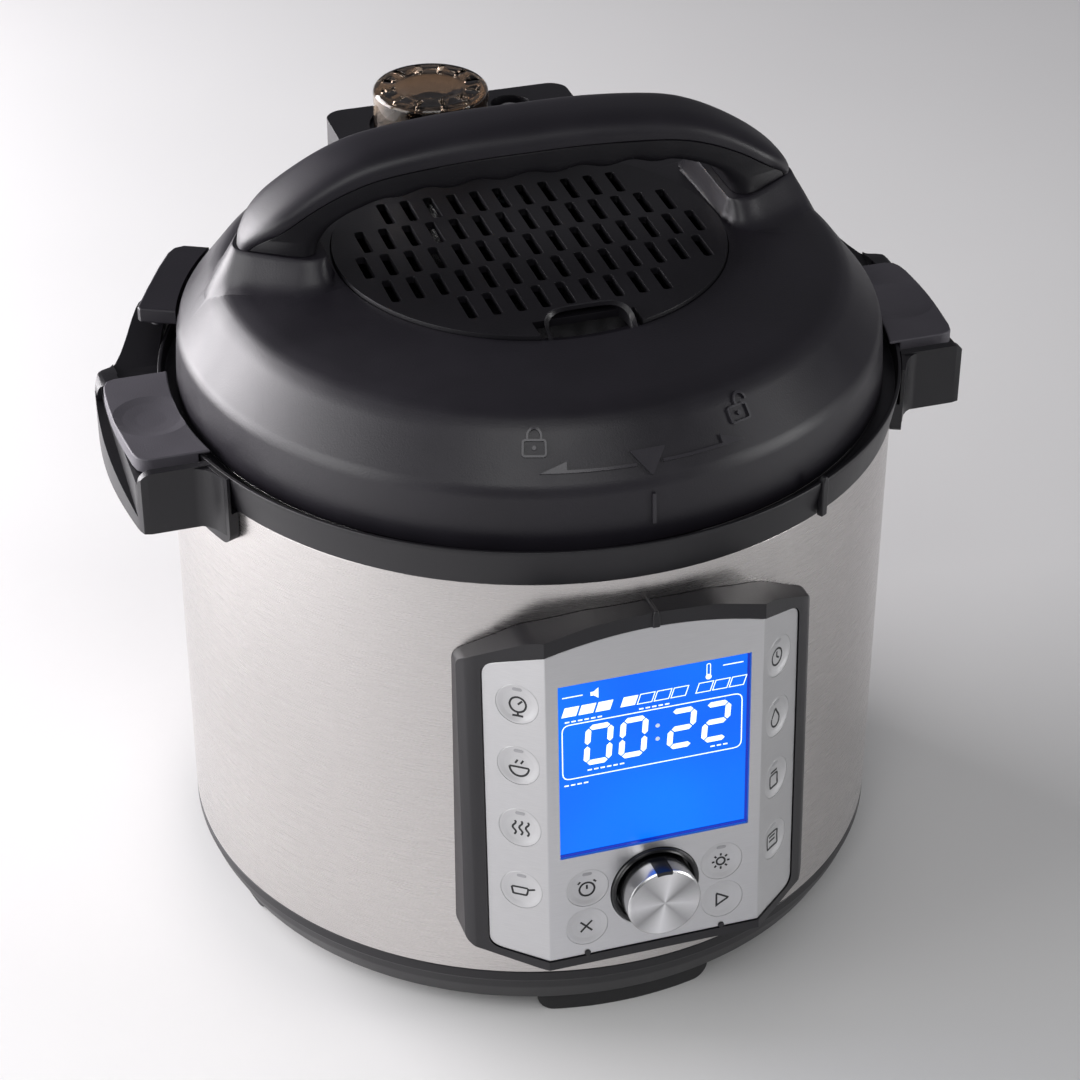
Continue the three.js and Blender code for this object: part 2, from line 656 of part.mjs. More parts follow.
function handleGrip() {
  const waveHeight = 0.9;
  const waveLength = 20;
  const inner = archPoints(HANDLE_INNER).map(({ x, y }) => {
    const wave = Math.abs(x) < 55 ? waveHeight * Math.cos(x * 2 * Math.PI / waveLength) : 0;
    return new THREE.Vector2(x, y + wave);
  });
  const grip = common(archBetween(archPoints(HANDLE_SEAM, GAP + 0.1), inner, 0), handlePlan());
  const seamRoom = archBetween(archPoints(HANDLE_OUTER.map(([x, z]) => [x + Math.sign(x) * 3, z + 8])),
    archPoints(HANDLE_SEAM, GAP), 0);
  const screwHoles = [-SCREW_X, SCREW_X].map((x) => rod(SCREW_HOLE, 280, 291, x, HANDLE_Y, 12));
  return cut(grip, seamRoom, ...screwHoles);
}

function handleScrew(side) {
  return lathe([[0, 255], [5, 255], [5, 257.6], [2.5, 258.4], [2.5, 290], [0, 290]], 12)
    .translate(side * SCREW_X, HANDLE_Y, 0);
}

// The raised block behind the handle that carries the two valves.
function valveDeck() {
  const right = [[38, 70], [51.8, 84], [51.8, 116], [47, 120.5]];
  const left = right.map(([x, y]) => [-x, y]).reverse();
  const plan = outline([...left, ...right]);
  const block = slab(plan, 240, DECK_TOP, 2.2);
  const room = COVER_OUTER.map(([radius, height]) => [radius + 0.4, height + 0.5]);
  const lidRoom = lathe([[0, 200], [140, 200], ...room, [GRILLE_RADIUS - 1, 277.4], [0, 277.4]]);
  const capSeat = rod(25.2, DECK_TOP - 2, 300, ...VALVE);
  return cut(block, lidRoom, capSeat, rod(VALVE_HOLE, 260, 300, ...VALVE), rod(8, 260, 300, ...FLOAT));
}

const CAP_LOW = DECK_TOP - 1.7;

// The clear steam cap, with a ring of slots round its top.
function steamCap() {
  const cap = lathe([[0, 297.6], [9, 298], [13.4, 299.6], [21.2, 299.6], [21.9, 299], [21.9, CAP_LOW],
    [23.5, CAP_LOW], [23.5, 299.8], [22, 301.5], [14, 301.5], [9, 299.8], [0, 299.4]], 24);
  const slots = [];
  for (let i = 0; i < 12; i++) {
    slots.push(box(15, 20.4, -1.2, 1.2, 295, 305).rotateZ(i * 30 * DEG));
  }
  return cut(cap, ...slots).translate(...VALVE, 0);
}

function releaseValve() {
  return lathe([[0, 289.6], [10.5, 289.6], [10.5, 291.4], [7, 292.2], [7, 294], [0, 294]], 16)
    .translate(...VALVE, 0);
}

function steamPipe() {
  return lathe([[5.2, 236.6], [8.2, 236.6], [8.2, 287], [6.4, 289.2], [5.2, 289.2]], 16)
    .translate(...VALVE, 0);
}

function floatValve() {
  const head = [[2.6, 276], [4.4, 277.5], [4.4, 283], [0, 283]];
  return lathe([[0, 233], [4.6, 233], [4.6, 235], [2.6, 235], ...head], 12).translate(...FLOAT, 0);
}

function floatSeal() {
  return lathe([[3, 235.6], [5.4, 235.6], [5.4, 238.7], [3, 238.7]], 12).translate(...FLOAT, 0);
}

const INNER_LID_TOP = 240.4;

function innerLid() {
  const top = INNER_LID_TOP;
  const plate = lathe([[0, top - 1.4], [114.6, top - 1.4], [117.4, 236.4], [117.4, 227], [118.6, 227],
    [118.6, 236.8], [115.2, top], [0, top]]);
  const lugs = [];
  for (let i = 0; i < LUGS; i++) {
    const middle = i * LUG_STEP;
    lugs.push(slab(sector(118, 120, middle - 8 * DEG, middle + 8 * DEG), 227.2, 229, 0, 2));
  }
  return cut(join(plate, ...lugs), rod(VALVE_HOLE, 230, 250, ...VALVE), rod(5.8, 230, 250, ...FLOAT));
}

function sealingRing() {
  return lathe([[109.6, POT_RIM + GAP], [116.8, POT_RIM + GAP], [116.8, 231.5], [109.6, 231.5],
    [109.6, 229.8], [113.4, 229.4], [113.4, 228], [109.6, 227.6]], INSIDE);
}

function ringRack() {
  const wire = [];
  for (let i = 0; i < 6; i++) {
    wire.push([107.4 + 1.2 * Math.cos(i * 60 * DEG), 228.6 + 1.2 * Math.sin(i * 60 * DEG)]);
  }
  return lathe(wire, INSIDE);
}

function blockShield() {
  return lathe([[0, 229.4], [7, 229.4], [9.4, 231.4], [9.4, 236], [0, 236]], 16).translate(...VALVE, 0);
}

// ---- assembly ----
add("bottom_base", bottomBase(), BLACK);
add("bottom_cover", bottomCover(), BLACK);
for (const [name, angle] of [["front", -90], ["right", 0], ["rear", 90], ["left", 180]]) {
  add(`foot_${name}`, foot(angle * DEG), RUBBER);
}
add("power_inlet", powerInlet(), BLACK);
add("power_board", powerBoard(), GREEN);
add("steel_housing", steelHousing(), STEEL);
add("top_ring", topRing(), BLACK);
for (const [name, side] of [["left", -1], ["right", 1]]) {
  add(`side_handle_${name}`, mirrored(sideHandle(), side), BLACK);
  add(`handle_pad_${name}`, mirrored(handlePad(), side), CHARCOAL);
}
add("inner_liner", innerLiner(), BRIGHT);
add("locking_ring", lockingRing(), BRIGHT);
add("heating_plate", heatingPlate(), BRIGHT);
add("sensor_button", sensorButton(), BRIGHT);
add("sensor_spring", sensorSpring(), BRIGHT);
add("inner_pot", innerPot(), BRIGHT);
add("cup_bracket", cupBracket(), BLACK);
add("condensation_cup", condensationCup(), CLEAR);

add("panel_bezel", panelBezel(), BLACK, panel);
add("face_plate", facePlate(), SILVER, panel);
add("display", display(), BLUE, panel);
add("control_board", controlBoard(), GREEN, panel);
add("knob_seat", knobSeat(), BLACK, panel).position.y = KNOB_LOW;
add("knob_shaft", knobShaft(), BRIGHT, panel).position.y = KNOB_LOW;
add("knob", knob(), BRIGHT, panel).position.y = KNOB_LOW;
for (const [name, side] of [["left", -1], ["right", 1]]) {
  SIDE_BUTTONS.forEach((height, i) => {
    const button = add(`button_${name}_${i + 1}`, pushButton(), SILVER, facets[name]);
    button.position.set(side * SIDE_BUTTON_OUT, height, 0);
  });
  INNER_BUTTONS.forEach(([x, y], i) => {
    add(`button_inner_${name}_${i + 1}`, pushButton(), SILVER, panel).position.set(side * x, y, 0);
  });
}

add("lid_cover", lidCover(), CHARCOAL);
add("lid_fin", lidFin(), CHARCOAL);
add("grille", grille(), BLACK);
add("handle_shell", handleShell(), CHARCOAL);
add("handle_grip", handleGrip(), BLACK);
add("handle_screw_left", handleScrew(-1), STEEL);
add("handle_screw_right", handleScrew(1), STEEL);
add("valve_deck", valveDeck(), BLACK);
add("steam_cap", steamCap(), SMOKY);
add("release_valve", releaseValve(), BLACK);
add("steam_pipe", steamPipe(), STEEL);
add("float_valve", floatValve(), STEEL);
add("float_seal", floatSeal(), SILICONE);
add("inner_lid", innerLid(), BRIGHT);
add("sealing_ring", sealingRing(), SILICONE);
add("ring_rack", ringRack(), STEEL);
add("block_shield", blockShield(), STEEL);

export default group;
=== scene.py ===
import math

import bmesh
import bpy
from mathutils import Matrix, Vector


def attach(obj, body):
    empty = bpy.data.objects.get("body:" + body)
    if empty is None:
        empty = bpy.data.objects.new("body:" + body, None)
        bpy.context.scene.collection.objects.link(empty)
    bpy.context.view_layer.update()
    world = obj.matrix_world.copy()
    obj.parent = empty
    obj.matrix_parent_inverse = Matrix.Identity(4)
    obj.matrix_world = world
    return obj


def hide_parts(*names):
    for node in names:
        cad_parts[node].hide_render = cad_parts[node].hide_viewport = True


# An electric pressure cooker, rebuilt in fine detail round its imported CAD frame.
# Z is up and the control panel faces -Y. Lengths are in millimetres, except that matrices, the camera and the
# lights are placed in metres, which is what Blender uses.

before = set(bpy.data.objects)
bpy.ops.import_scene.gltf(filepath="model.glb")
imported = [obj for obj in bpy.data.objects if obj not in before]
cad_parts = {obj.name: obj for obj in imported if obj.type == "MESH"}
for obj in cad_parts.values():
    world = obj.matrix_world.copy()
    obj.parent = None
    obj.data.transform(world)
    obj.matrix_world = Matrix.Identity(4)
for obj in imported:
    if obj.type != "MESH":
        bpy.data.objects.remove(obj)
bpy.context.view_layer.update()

MM = 0.001
FULL = 2 * math.pi

# ---- driving dimensions, the same as the frame's ----
STEEL_RADIUS = 143
STEEL_ROOM = STEEL_RADIUS + 0.3
RING_RADIUS = 146.1
GRILLE_RADIUS = 76.4
RECESS_RADIUS = GRILLE_RADIUS + 0.5
HANDLE_Y = 14
HANDLE_END = 111.5
HANDLE_FOOT = 284.9
SCREW_X = 98
SCREW_BORE = 2.9
DECK_TOP = 284.6
VALVE = (-12, 97)
VALVE_BORE = 8.6
FLOAT = (24.5, 106)
CREASE = 42
FACE_EDGE = 61.5
FACE_DROP = 15.1
SIDE_TURN = math.atan2(FACE_DROP, FACE_EDGE - CREASE)
SCREEN_WIDE = 37
SCREEN_TALL = 37.8
BUTTON_RADIUS = 8.36
BUTTON_DISH = ((0, -0.9), (3.6, -0.8), (5.8, -0.52), (7.4, -0.16), (9, -0.05))
KNOB_LOW = -58.7
SIDE_BUTTON_ROWS = (29.8, 3.1, -24.7, -53.2)
INNER_BUTTONS = ((26.8, -53.4), (27.2, -71.2))
PEDESTAL_TOP = 284.6
PANEL_PLACE = (0, -156, 140.6)
PANEL_LEAN = 3.48
PAD_TOP = 230.6
DIMPLE = (153, -9)

PANEL = Matrix.Translation(Vector(PANEL_PLACE) * MM) @ Matrix.Rotation(math.radians(90 - PANEL_LEAN), 4, "X")
KNOB_PLACE = PANEL @ Matrix.Translation((0, KNOB_LOW * MM, 0))
FACET = {
    side: PANEL @ Matrix.Translation((side * CREASE * MM, 0, 0)) @ Matrix.Rotation(side * SIDE_TURN, 4, "Y")
    for side in (-1, 1)
}
HERE = Matrix.Identity(4)
SIDES = ((1, "right"), (-1, "left"))


# ---- materials ----
class Finish:
    """A node material: one shader fed by noise in the object's own coordinates, in metres."""

    def __init__(self, name, color, rough, metal=0.0, **sockets):
        self.mat = bpy.data.materials.new(name)
        self.mat.use_nodes = True
        self.nodes = self.mat.node_tree.nodes
        self.links = self.mat.node_tree.links
        self.shader = self.nodes["Principled BSDF"]
        self.color = color
        self.rough = rough
        self.shader.inputs["Base Color"].default_value = (*color, 1)
        self.shader.inputs["Roughness"].default_value = rough
        self.shader.inputs["Metallic"].default_value = metal
        for socket, value in sockets.items():
            self.shader.inputs[socket.replace("_", " ")].default_value = value
        self.mat.diffuse_color = (*color, 1)
        self.coords = self.nodes.new("ShaderNodeTexCoord").outputs["Object"]

    def noise(self, scale, stretch=(1, 1, 1), detail=3.0):
        mapping = self.nodes.new("ShaderNodeMapping")
        mapping.inputs["Scale"].default_value = stretch
        self.links.new(self.coords, mapping.inputs["Vector"])
        noise = self.nodes.new("ShaderNodeTexNoise")
        noise.inputs["Scale"].default_value = scale
        noise.inputs["Detail"].default_value = detail
        self.links.new(mapping.outputs["Vector"], noise.inputs["Vector"])
        return noise.outputs["Fac"]

    def span(self, factor, low, high, start=0.3, end=0.7):
        spread = self.nodes.new("ShaderNodeMapRange")
        for socket, value in (("From Min", start), ("From Max", end), ("To Min", low), ("To Max", high)):
            spread.inputs[socket].default_value = value
        self.links.new(factor, spread.inputs["Value"])
        return spread.outputs["Result"]

    def vary_color(self, factor, amount):
        ramp = self.nodes.new("ShaderNodeValToRGB")
        for end, place, change in ((0, 0.3, -amount), (1, 0.7, amount)):
            ramp.color_ramp.elements[end].position = place
            ramp.color_ramp.elements[end].color = (*[min(c * (1 + change), 1) for c in self.color], 1)
        self.links.new(factor, ramp.inputs["Fac"])
        self.links.new(ramp.outputs["Color"], self.shader.inputs["Base Color"])
        return self

    def vary_rough(self, factor, amount):
        rough = self.span(factor, self.rough - amount, self.rough + amount)
        self.links.new(rough, self.shader.inputs["Roughness"])
        return self

    def bump(self, factor, height, strength=1.0):
        bump = self.nodes.new("ShaderNodeBump")
        bump.inputs["Strength"].default_value = strength
        bump.inputs["Distance"].default_value = height * MM
        self.links.new(factor, bump.inputs["Height"])
        before = self.shader.inputs["Normal"].links
        if before:
            self.links.new(before[0].from_socket, bump.inputs["Normal"])
        self.links.new(bump.outputs["Normal"], self.shader.inputs["Normal"])
        return self


def moulded(name, color, rough, grain=0.05):
    """Satin moulded plastic: a fine spark-eroded grain and faint flow marks."""
    finish = Finish(name, color, rough)
    fine = finish.noise(1500, detail=2)
    broad = finish.noise(35, detail=4)
    finish.vary_color(broad, 0.12)
    finish.vary_rough(broad, 0.04)
    return finish.bump(fine, grain).mat


def brushed(name, color, rough, stretch, line=0.02, anisotropy=0.5, turn=0.0):
    """Metal brushed along the axis whose stretch is low."""
    finish = Finish(name, color, rough, 1.0, Anisotropic=anisotropy, Anisotropic_Rotation=turn)
    lines = finish.noise(240, stretch, detail=4)
    broad = finish.noise(12, detail=3)
    finish.vary_color(lines, 0.045)
    finish.vary_rough(lines, 0.04)
    return finish.bump(lines, line).bump(broad, 0.02, 0.3).mat


def mottled(name, color, rough, metal=0.0, tone=None, gloss=None, relief=None, **sockets):
    """A finish whose tone, gloss and relief vary with noise, each given as (scale, amount, detail)."""
    finish = Finish(name, color, rough, metal, **sockets)
    for vary, how in ((finish.vary_color, tone), (finish.vary_rough, gloss), (finish.bump, relief)):
        if how:
            scale, amount, detail = how
            vary(finish.noise(scale, detail=detail), amount)
    return finish.mat


def spun_metal_painted_fan():
    """A turned face: anisotropic spun metal, whose colour carries painted highlights, light and dark wedges
    that fan round its axis.
    """
    finish = Finish("knob_metal", (0.80, 0.80, 0.81), 0.24, 1.0, Anisotropic=0.85)
    tangent = finish.nodes.new("ShaderNodeTangent")
    tangent.direction_type = "RADIAL"
    tangent.axis = "Z"
    finish.links.new(tangent.outputs["Tangent"], finish.shader.inputs["Tangent"])
    # painted highlights: a radial gradient paints light and dark wedges into the colour, standing in for the
    # conical reflections of a spun face
    painted_fan = finish.nodes.new("ShaderNodeTexGradient")
    painted_fan.gradient_type = "RADIAL"
    finish.links.new(finish.coords, painted_fan.inputs["Vector"])
    sheen = finish.nodes.new("ShaderNodeValToRGB")
    finish.links.new(painted_fan.outputs["Color"], sheen.inputs["Fac"])
    finish.links.new(sheen.outputs["Color"], finish.shader.inputs["Base Color"])
    painted_highlight_shades = ((0.10, 0.36), (0.22, 0.86), (0.36, 0.42), (0.47, 0.78), (0.60, 0.34), (0.72, 0.88), (0.86, 0.40))
    for place, shade in painted_highlight_shades:
        sheen.color_ramp.elements.new(place).color = (shade, shade, shade * 1.01, 1)
    for end in (0, -1):
        sheen.color_ramp.elements[end].color = (0.76, 0.76, 0.77, 1)
    return finish.vary_rough(finish.noise(700, detail=2), 0.03).mat


def lit_screen():
    """The backlit glass, a little brighter in places."""
    finish = Finish("lit_screen", (0.0, 0.01, 0.16), 0.22, Specular_IOR_Level=0.25, Emission_Strength=1.0)
    glow = finish.nodes.new("ShaderNodeValToRGB")
    glow.color_ramp.elements[0].color = (0.0, 0.130, 0.95, 1)
    glow.color_ramp.elements[1].color = (0.0, 0.205, 1.0, 1)
    finish.links.new(finish.span(finish.noise(14, detail=1), 0, 1), glow.inputs["Fac"])
    finish.links.new(glow.outputs["Color"], finish.shader.inputs["Emission Color"])
    return finish.mat


def lit_mark(name, color, rough, glow, strength):
    """A mark that gives off light evenly."""
    light = {"Emission_Color": (*glow, 1), "Emission_Strength": strength}
    return mottled(name, color, rough, gloss=(300, 0.05, 3), **light)


def make_materials():
    white, white_glow = (0.6, 0.7, 0.8), (0.78, 0.92, 1.0)
    return {
        "black": moulded("black_plastic", (0.0075, 0.0068, 0.0092), 0.42),
        "charcoal": moulded("charcoal_plastic", (0.0120, 0.0105, 0.0150), 0.42),
        # painted highlight: the marks are the lid's own plastic, and their lighter grey stands in for the light
        # caught by their raised edges
        "mark": moulded("raised_mark_painted_highlight", (0.030, 0.028, 0.034), 0.30, 0.02),
        # painted sheen: the pads' grey, far lighter than the other black plastics, stands in for the light
        # their tops catch; their coarser grain is their own
        "pad": moulded("pad_plastic", (0.085, 0.080, 0.094), 0.55, 0.08),
        "gloss_black": moulded("gloss_black_plastic", (0.008, 0.008, 0.009), 0.22, 0.01),
        "steel": brushed("brushed_steel", (0.61, 0.585, 0.575), 0.27, (0.35, 0.35, 22)),
        "bright": brushed("bright_steel", (0.66, 0.655, 0.65), 0.22, (0.5, 0.5, 9), 0.008, 0.3),
        "face": brushed("silver_face", (0.63, 0.63, 0.64), 0.36, (0.5, 26, 1), 0.010, 0.35, 0.25),
        "knob_side": brushed("knob_side", (0.60, 0.60, 0.61), 0.20, (1, 1, 12), 0.004, 0.5),
        # the knob's colour carries a painted fan of highlights
        "knob": spun_metal_painted_fan(),
        "cast": mottled("cast_plate", (0.55, 0.55, 0.56), 0.5, 1.0, tone=(60, 0.1, 3), relief=(1200, 0.1, 3)),
        "rubber": mottled("foot_rubber", (0.018, 0.018, 0.019), 0.75, gloss=(80, 0.08, 3),
                          relief=(900, 0.1, 3)),
        "silicone": mottled("silicone", (0.72, 0.73, 0.74), 0.5, gloss=(150, 0.08, 3), relief=(700, 0.03, 3),
                            Subsurface_Weight=0.3, Subsurface_Scale=0.004),
        "board": mottled("circuit_board", (0.02, 0.13, 0.05), 0.45, tone=(300, 0.4, 3), relief=(500, 0.05, 3)),
        "button": mottled("button_silver", (0.60, 0.60, 0.61), 0.36, 0.75, gloss=(120, 0.03, 3),
                          relief=(1800, 0.006, 1), Coat_Weight=0.15, Coat_Roughness=0.3),
        "ink": mottled("legend_ink", (0.016, 0.016, 0.018), 0.6, tone=(600, 0.2, 3)),
        "lamp": mottled("lamp_window", (0.36, 0.36, 0.375), 0.35, gloss=(300, 0.05, 3)),
        "smoky": mottled("smoky_clear", (0.42, 0.33, 0.25), 0.045, gloss=(200, 0.02, 3),
                         Transmission_Weight=1.0, IOR=1.49),
        "clear": mottled("clear_plastic", (0.90, 0.93, 0.95), 0.09, gloss=(120, 0.04, 3),
                         relief=(500, 0.004, 3), Transmission_Weight=0.95, IOR=1.49),
        "screen": lit_screen(),
        "screen_rim": lit_mark("screen_rim", (0.0, 0.01, 0.18), 0.2, (0.0, 0.02, 0.42), 0.8),
        "segment": lit_mark("segment", white, 0.4, white_glow, 1.15),
        "faint_segment": lit_mark("faint_segment", white, 0.4, white_glow, 0.3),
    }


MATS = make_materials()


# ---- mesh kit ----
def new_object(name, verts, faces, place=HERE):
    mesh = bpy.data.meshes.new(name)
    mesh.from_pydata([[c * MM for c in v] for v in verts], [], faces)
    obj = bpy.data.objects.new(name, mesh)
    bpy.context.scene.collection.objects.link(obj)
    obj.matrix_world = place
    return obj


def edit(obj, work=lambda bm: None):
    """Runs work on the object's mesh and leaves every face pointing outwards."""
    bm = bmesh.new()
    bm.from_mesh(obj.data)
    work(bm)
    bmesh.ops.recalc_face_normals(bm, faces=bm.faces)
    bm.to_mesh(obj.data)
    bm.free()
    return obj


def merged(obj, distance=0.002):
    return edit(obj, lambda bm: bmesh.ops.remove_doubles(bm, verts=bm.verts, dist=distance * MM))


def baked(obj):
    """Turns the object's modifiers into mesh."""
    bpy.context.view_layer.update()
    graph = bpy.context.evaluated_depsgraph_get()
    mesh = bpy.data.meshes.new_from_object(obj.evaluated_get(graph))
    obj.modifiers.clear()
    old = obj.data
    name = old.name
    obj.data = mesh
    bpy.data.meshes.remove(old)
    mesh.name = name
    return obj


def carve(obj, *tools, operation="DIFFERENCE"):
    """Boolean with each tool in turn; the tools are used up."""
    for tool in tools:
        step = obj.modifiers.new("carve", "BOOLEAN")
        step.operation = operation
        step.solver = "EXACT"
        step.object = tool
        baked(obj)
        bpy.data.objects.remove(tool)
    return merged(obj)


def joined(objects, name="tools"):
    """Several objects with the same placement as one."""
    bm = bmesh.new()
    for obj in objects:
        bm.from_mesh(obj.data)
    bm.to_mesh(objects[0].data)
    bm.free()
    for obj in objects[1:]:
        bpy.data.objects.remove(obj)
    objects[0].name = name
    return objects[0]


def soften(obj, width, segments=3, angle=35):
    """Rounds the edges sharper than the angle."""
    edit(obj, lambda bm: bmesh.ops.dissolve_limit(
        bm, angle_limit=math.radians(0.6), verts=bm.verts, edges=bm.edges))
    bevel = obj.modifiers.new("soften", "BEVEL")
    bevel.width = width * MM
    bevel.segments = segments
    bevel.limit_method = "ANGLE"
    bevel.angle_limit = math.radians(angle)
    bevel.use_clamp_overlap = True
    return merged(baked(obj), 0.001)


def bend(start, corner, end, segments):
    """A short curve from start to end that leans towards the corner."""
    steps = [k / segments for k in range(segments + 1)]
    return [tuple(start * (1 - t) ** 2 + corner * 2 * t * (1 - t) + end * t * t) for t in steps]


def rounded(points, radius, closed=True, segments=4):
    """The polygon with its corners replaced by short curves."""
    count = len(points)
    out = []
    for i, point in enumerate(points):
        if not closed and i in (0, count - 1):
            out.append(tuple(point))
            continue
        here = Vector(point)
        before = Vector(points[i - 1]) - here
        after = Vector(points[(i + 1) % count]) - here
        reach = min(radius, 0.45 * before.length, 0.45 * after.length)
        start, end = here + before.normalized() * reach, here + after.normalized() * reach
        out += bend(start, here, end, segments)
    return out


def bands(rings, count, loop=False):
    """The faces between each ring of count points and the next one."""
    faces = []
    for i in range(rings if loop else rings - 1):
        low, high = i * count, (i + 1) % rings * count
        faces += [[low + k, low + (k + 1) % count, high + (k + 1) % count, high + k] for k in range(count)]
    return faces


def turned(name, profile, steps=160, centre=(0, 0), rounding=0.5, place=HERE):
    """A profile of (radius, height) points turned about Z; it closes on the axis or on itself."""
    on_axis = profile[0][0] == 0
    points = rounded(profile, rounding, closed=not on_axis)
    verts, rings = [], []
    for radius, height in points:
        start = len(verts)
        if radius < 1e-6:
            verts.append((centre[0], centre[1], height))
            rings.append([start] * steps)
            continue
        for k in range(steps):
            angle = FULL * k / steps
            verts.append((centre[0] + radius * math.cos(angle), centre[1] + radius * math.sin(angle), height))
        rings.append(list(range(start, start + steps)))
    faces = []
    for low, high in zip(rings, rings[1:] if on_axis else rings[1:] + rings[:1]):
        for k in range(steps):
            n = (k + 1) % steps
            face = list(dict.fromkeys((low[k], low[n], high[n], high[k])))
            if len(face) > 2:
                faces.append(face)
    return merged(new_object(name, verts, faces, place))


def slab(outline, spot, low, high):
    """Verts and faces of an outline carried from low to high; spot(u, v, w) gives the point in space."""
    count = len(outline)
    verts = [spot(u, v, w) for w in (low, high) for u, v in outline]
    return verts, [list(range(count))[::-1], list(range(count, 2 * count))] + bands(2, count)


def prism(name, outline, low, high, place=HERE, spot=lambda x, y, z: (x, y, z)):
    """A flat outline raised from low to high."""
    return merged(new_object(name, *slab(outline, spot, low, high), place))


def side_view(name, outline, x0, x1):
    """An outline of (y, z) points carried from x0 to x1."""
    return prism(name, outline, x0, x1, spot=lambda y, z, x: (x, y, z))


def front_view(name, outline, y0, y1):
    """An outline of (x, z) points carried from y0 to y1."""
    return prism(name, outline, y0, y1, spot=lambda x, z, y: (x, y, z))


def corner_tool(degrees, side, radius, low, near, far):
    """Cuts a sector's lower corner round at one end; side is 1 where the sector goes on anticlockwise."""
    a = math.radians(degrees)
    outline = [(-2, low - 2), (radius, low - 2), (radius, low)]
    outline += arc(radius, 270, 180, 8, (radius, low + radius)) + [(-2, low + radius)]
    return prism("corner", outline, near, far, spot=lambda t, z, r: (
        r * math.cos(a) - side * t * math.sin(a), r * math.sin(a) + side * t * math.cos(a), z))


def block(name, x0, x1, y0, y1, z0, z1, place=HERE):
    return prism(name, [(x0, y0), (x1, y0), (x1, y1), (x0, y1)], z0, z1, place)


def arc(radius, start, end, count, centre=(0, 0)):
    """Points on a circle between two angles in degrees."""
    angles = [math.radians(start + (end - start) * i / count) for i in range(count + 1)]
    return [(centre[0] + radius * math.cos(a), centre[1] + radius * math.sin(a)) for a in angles]


def round_outline(radius, steps, centre=(0, 0)):
    return arc(radius, 0, 360, steps, centre)[:-1]


def disc(name, radius, low, high, centre=(0, 0), steps=64, place=HERE):
    return prism(name, round_outline(radius, steps, centre), low, high, place)


def rounded_box(x0, x1, y0, y1, radius, count=8):
    return (arc(radius, 0, 90, count, (x1 - radius, y1 - radius))
            + arc(radius, 90, 180, count, (x0 + radius, y1 - radius))
            + arc(radius, 180, 270, count, (x0 + radius, y0 + radius))
            + arc(radius, 270, 360, count, (x1 - radius, y0 + radius)))


def ring_sector(inner, outer, start, end, count=24):
    return arc(outer, start, end, count) + arc(inner, end, start, count)


def mirror_x(obj):
    """The same object on the other side of the cooker."""
    obj.data.transform(Matrix.Scale(-1, 4, (1, 0, 0)))
    return edit(obj)


def piece(obj, body, material, sharp=32, weighted=True):
    """Finishes a piece: material, shading that breaks at sharp edges, and body.

    A piece that is named after a CAD node stands for it; Blender adds .001 to the shared name."""
    obj.data.materials.clear()
    obj.data.materials.append(MATS[material])
    obj.data.shade_smooth()
    obj.data.set_sharp_from_angle(angle=math.radians(sharp))
    if weighted:
        normal = obj.modifiers.new("even_normals", "WEIGHTED_NORMAL")
        normal.keep_sharp = True
        normal.weight = 80
    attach(obj, body)
    node = obj.name.split(".")[0]
    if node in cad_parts:
        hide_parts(node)


def turned_piece(name, body, material, profile, steps, centre=(0, 0), rounding=0.5, place=HERE):
    piece(turned(name, profile, steps, centre, rounding, place), body, material)


def smooth_line(points, count):
    """A Catmull-Rom curve through the points, as count + 1 evenly spaced points."""
    knots = [Vector(p) for p in points]
    knots = [2 * knots[0] - knots[1]] + knots + [2 * knots[-1] - knots[-2]]
    fine = []
    for i in range(1, len(knots) - 2):
        a, b, c, d = knots[i - 1:i + 3]
        for k in range(24):
            t = k / 24
            fine.append(0.5 * (2 * b + (c - a) * t + (2 * a - 5 * b + 4 * c - d) * t * t
                               + (3 * b - a - 3 * c + d) * t ** 3))
    fine.append(knots[-2])
    return evenly(fine, count)


def length_of(line):
    return sum((Vector(b) - Vector(a)).length for a, b in zip(line, line[1:]))


def evenly(line, count):
    """count + 1 points at equal distances along a polyline."""
    line = [Vector(p) for p in line]
    lengths = [0.0]
    for a, b in zip(line, line[1:]):
        lengths.append(lengths[-1] + (b - a).length)
    out, i = [], 0
    for k in range(count + 1):
        target = lengths[-1] * k / count
        while i < len(line) - 2 and lengths[i + 1] < target:
            i += 1
        share = (target - lengths[i]) / max(lengths[i + 1] - lengths[i], 1e-9)
        out.append(line[i].lerp(line[i + 1], min(max(share, 0), 1)))
    return out


def ribbon(line, width, surface, low, high, closed=False):
    """A printed or raised line: verts and faces of a closed strip that follows a surface.

    surface(x, y, lift) gives the point in space that lies lift above (x, y)."""
    points = [Vector(p) for p in line]
    count = len(points)
    verts = []
    for i, point in enumerate(points):
        before = points[i - 1] if i or closed else None
        after = points[(i + 1) % count] if i < count - 1 or closed else None
        along = Vector((0, 0))
        if before is not None:
            along += (point - before).normalized()
        if after is not None:
            along += (after - point).normalized()
        along = along.normalized() if along.length > 1e-6 else Vector((1, 0))
        across = Vector((-along.y, along.x))
        stretch = 1.0
        if before is not None and after is not None:
            step = (after - point).normalized()
            stretch = 1 / max(abs(Vector((-step.y, step.x)).dot(across)), 0.5)
        left, right = (point + across * side * width / 2 * stretch for side in (1, -1))
        verts += [surface(*left, low), surface(*right, low), surface(*right, high), surface(*left, high)]
    faces = bands(count, 4, closed)
    if not closed:
        end = 4 * (count - 1)
        faces += [[3, 2, 1, 0], [end, end + 1, end + 2, end + 3]]
    return verts, faces


def gathered(name, parts, place=HERE):
    """One object from several (verts, faces) parts."""
    verts, faces = [], []
    for part_verts, part_faces in parts:
        start = len(verts)
        verts += part_verts
        faces += [[v + start for v in face] for face in part_faces]
    return edit(new_object(name, verts, faces, place))


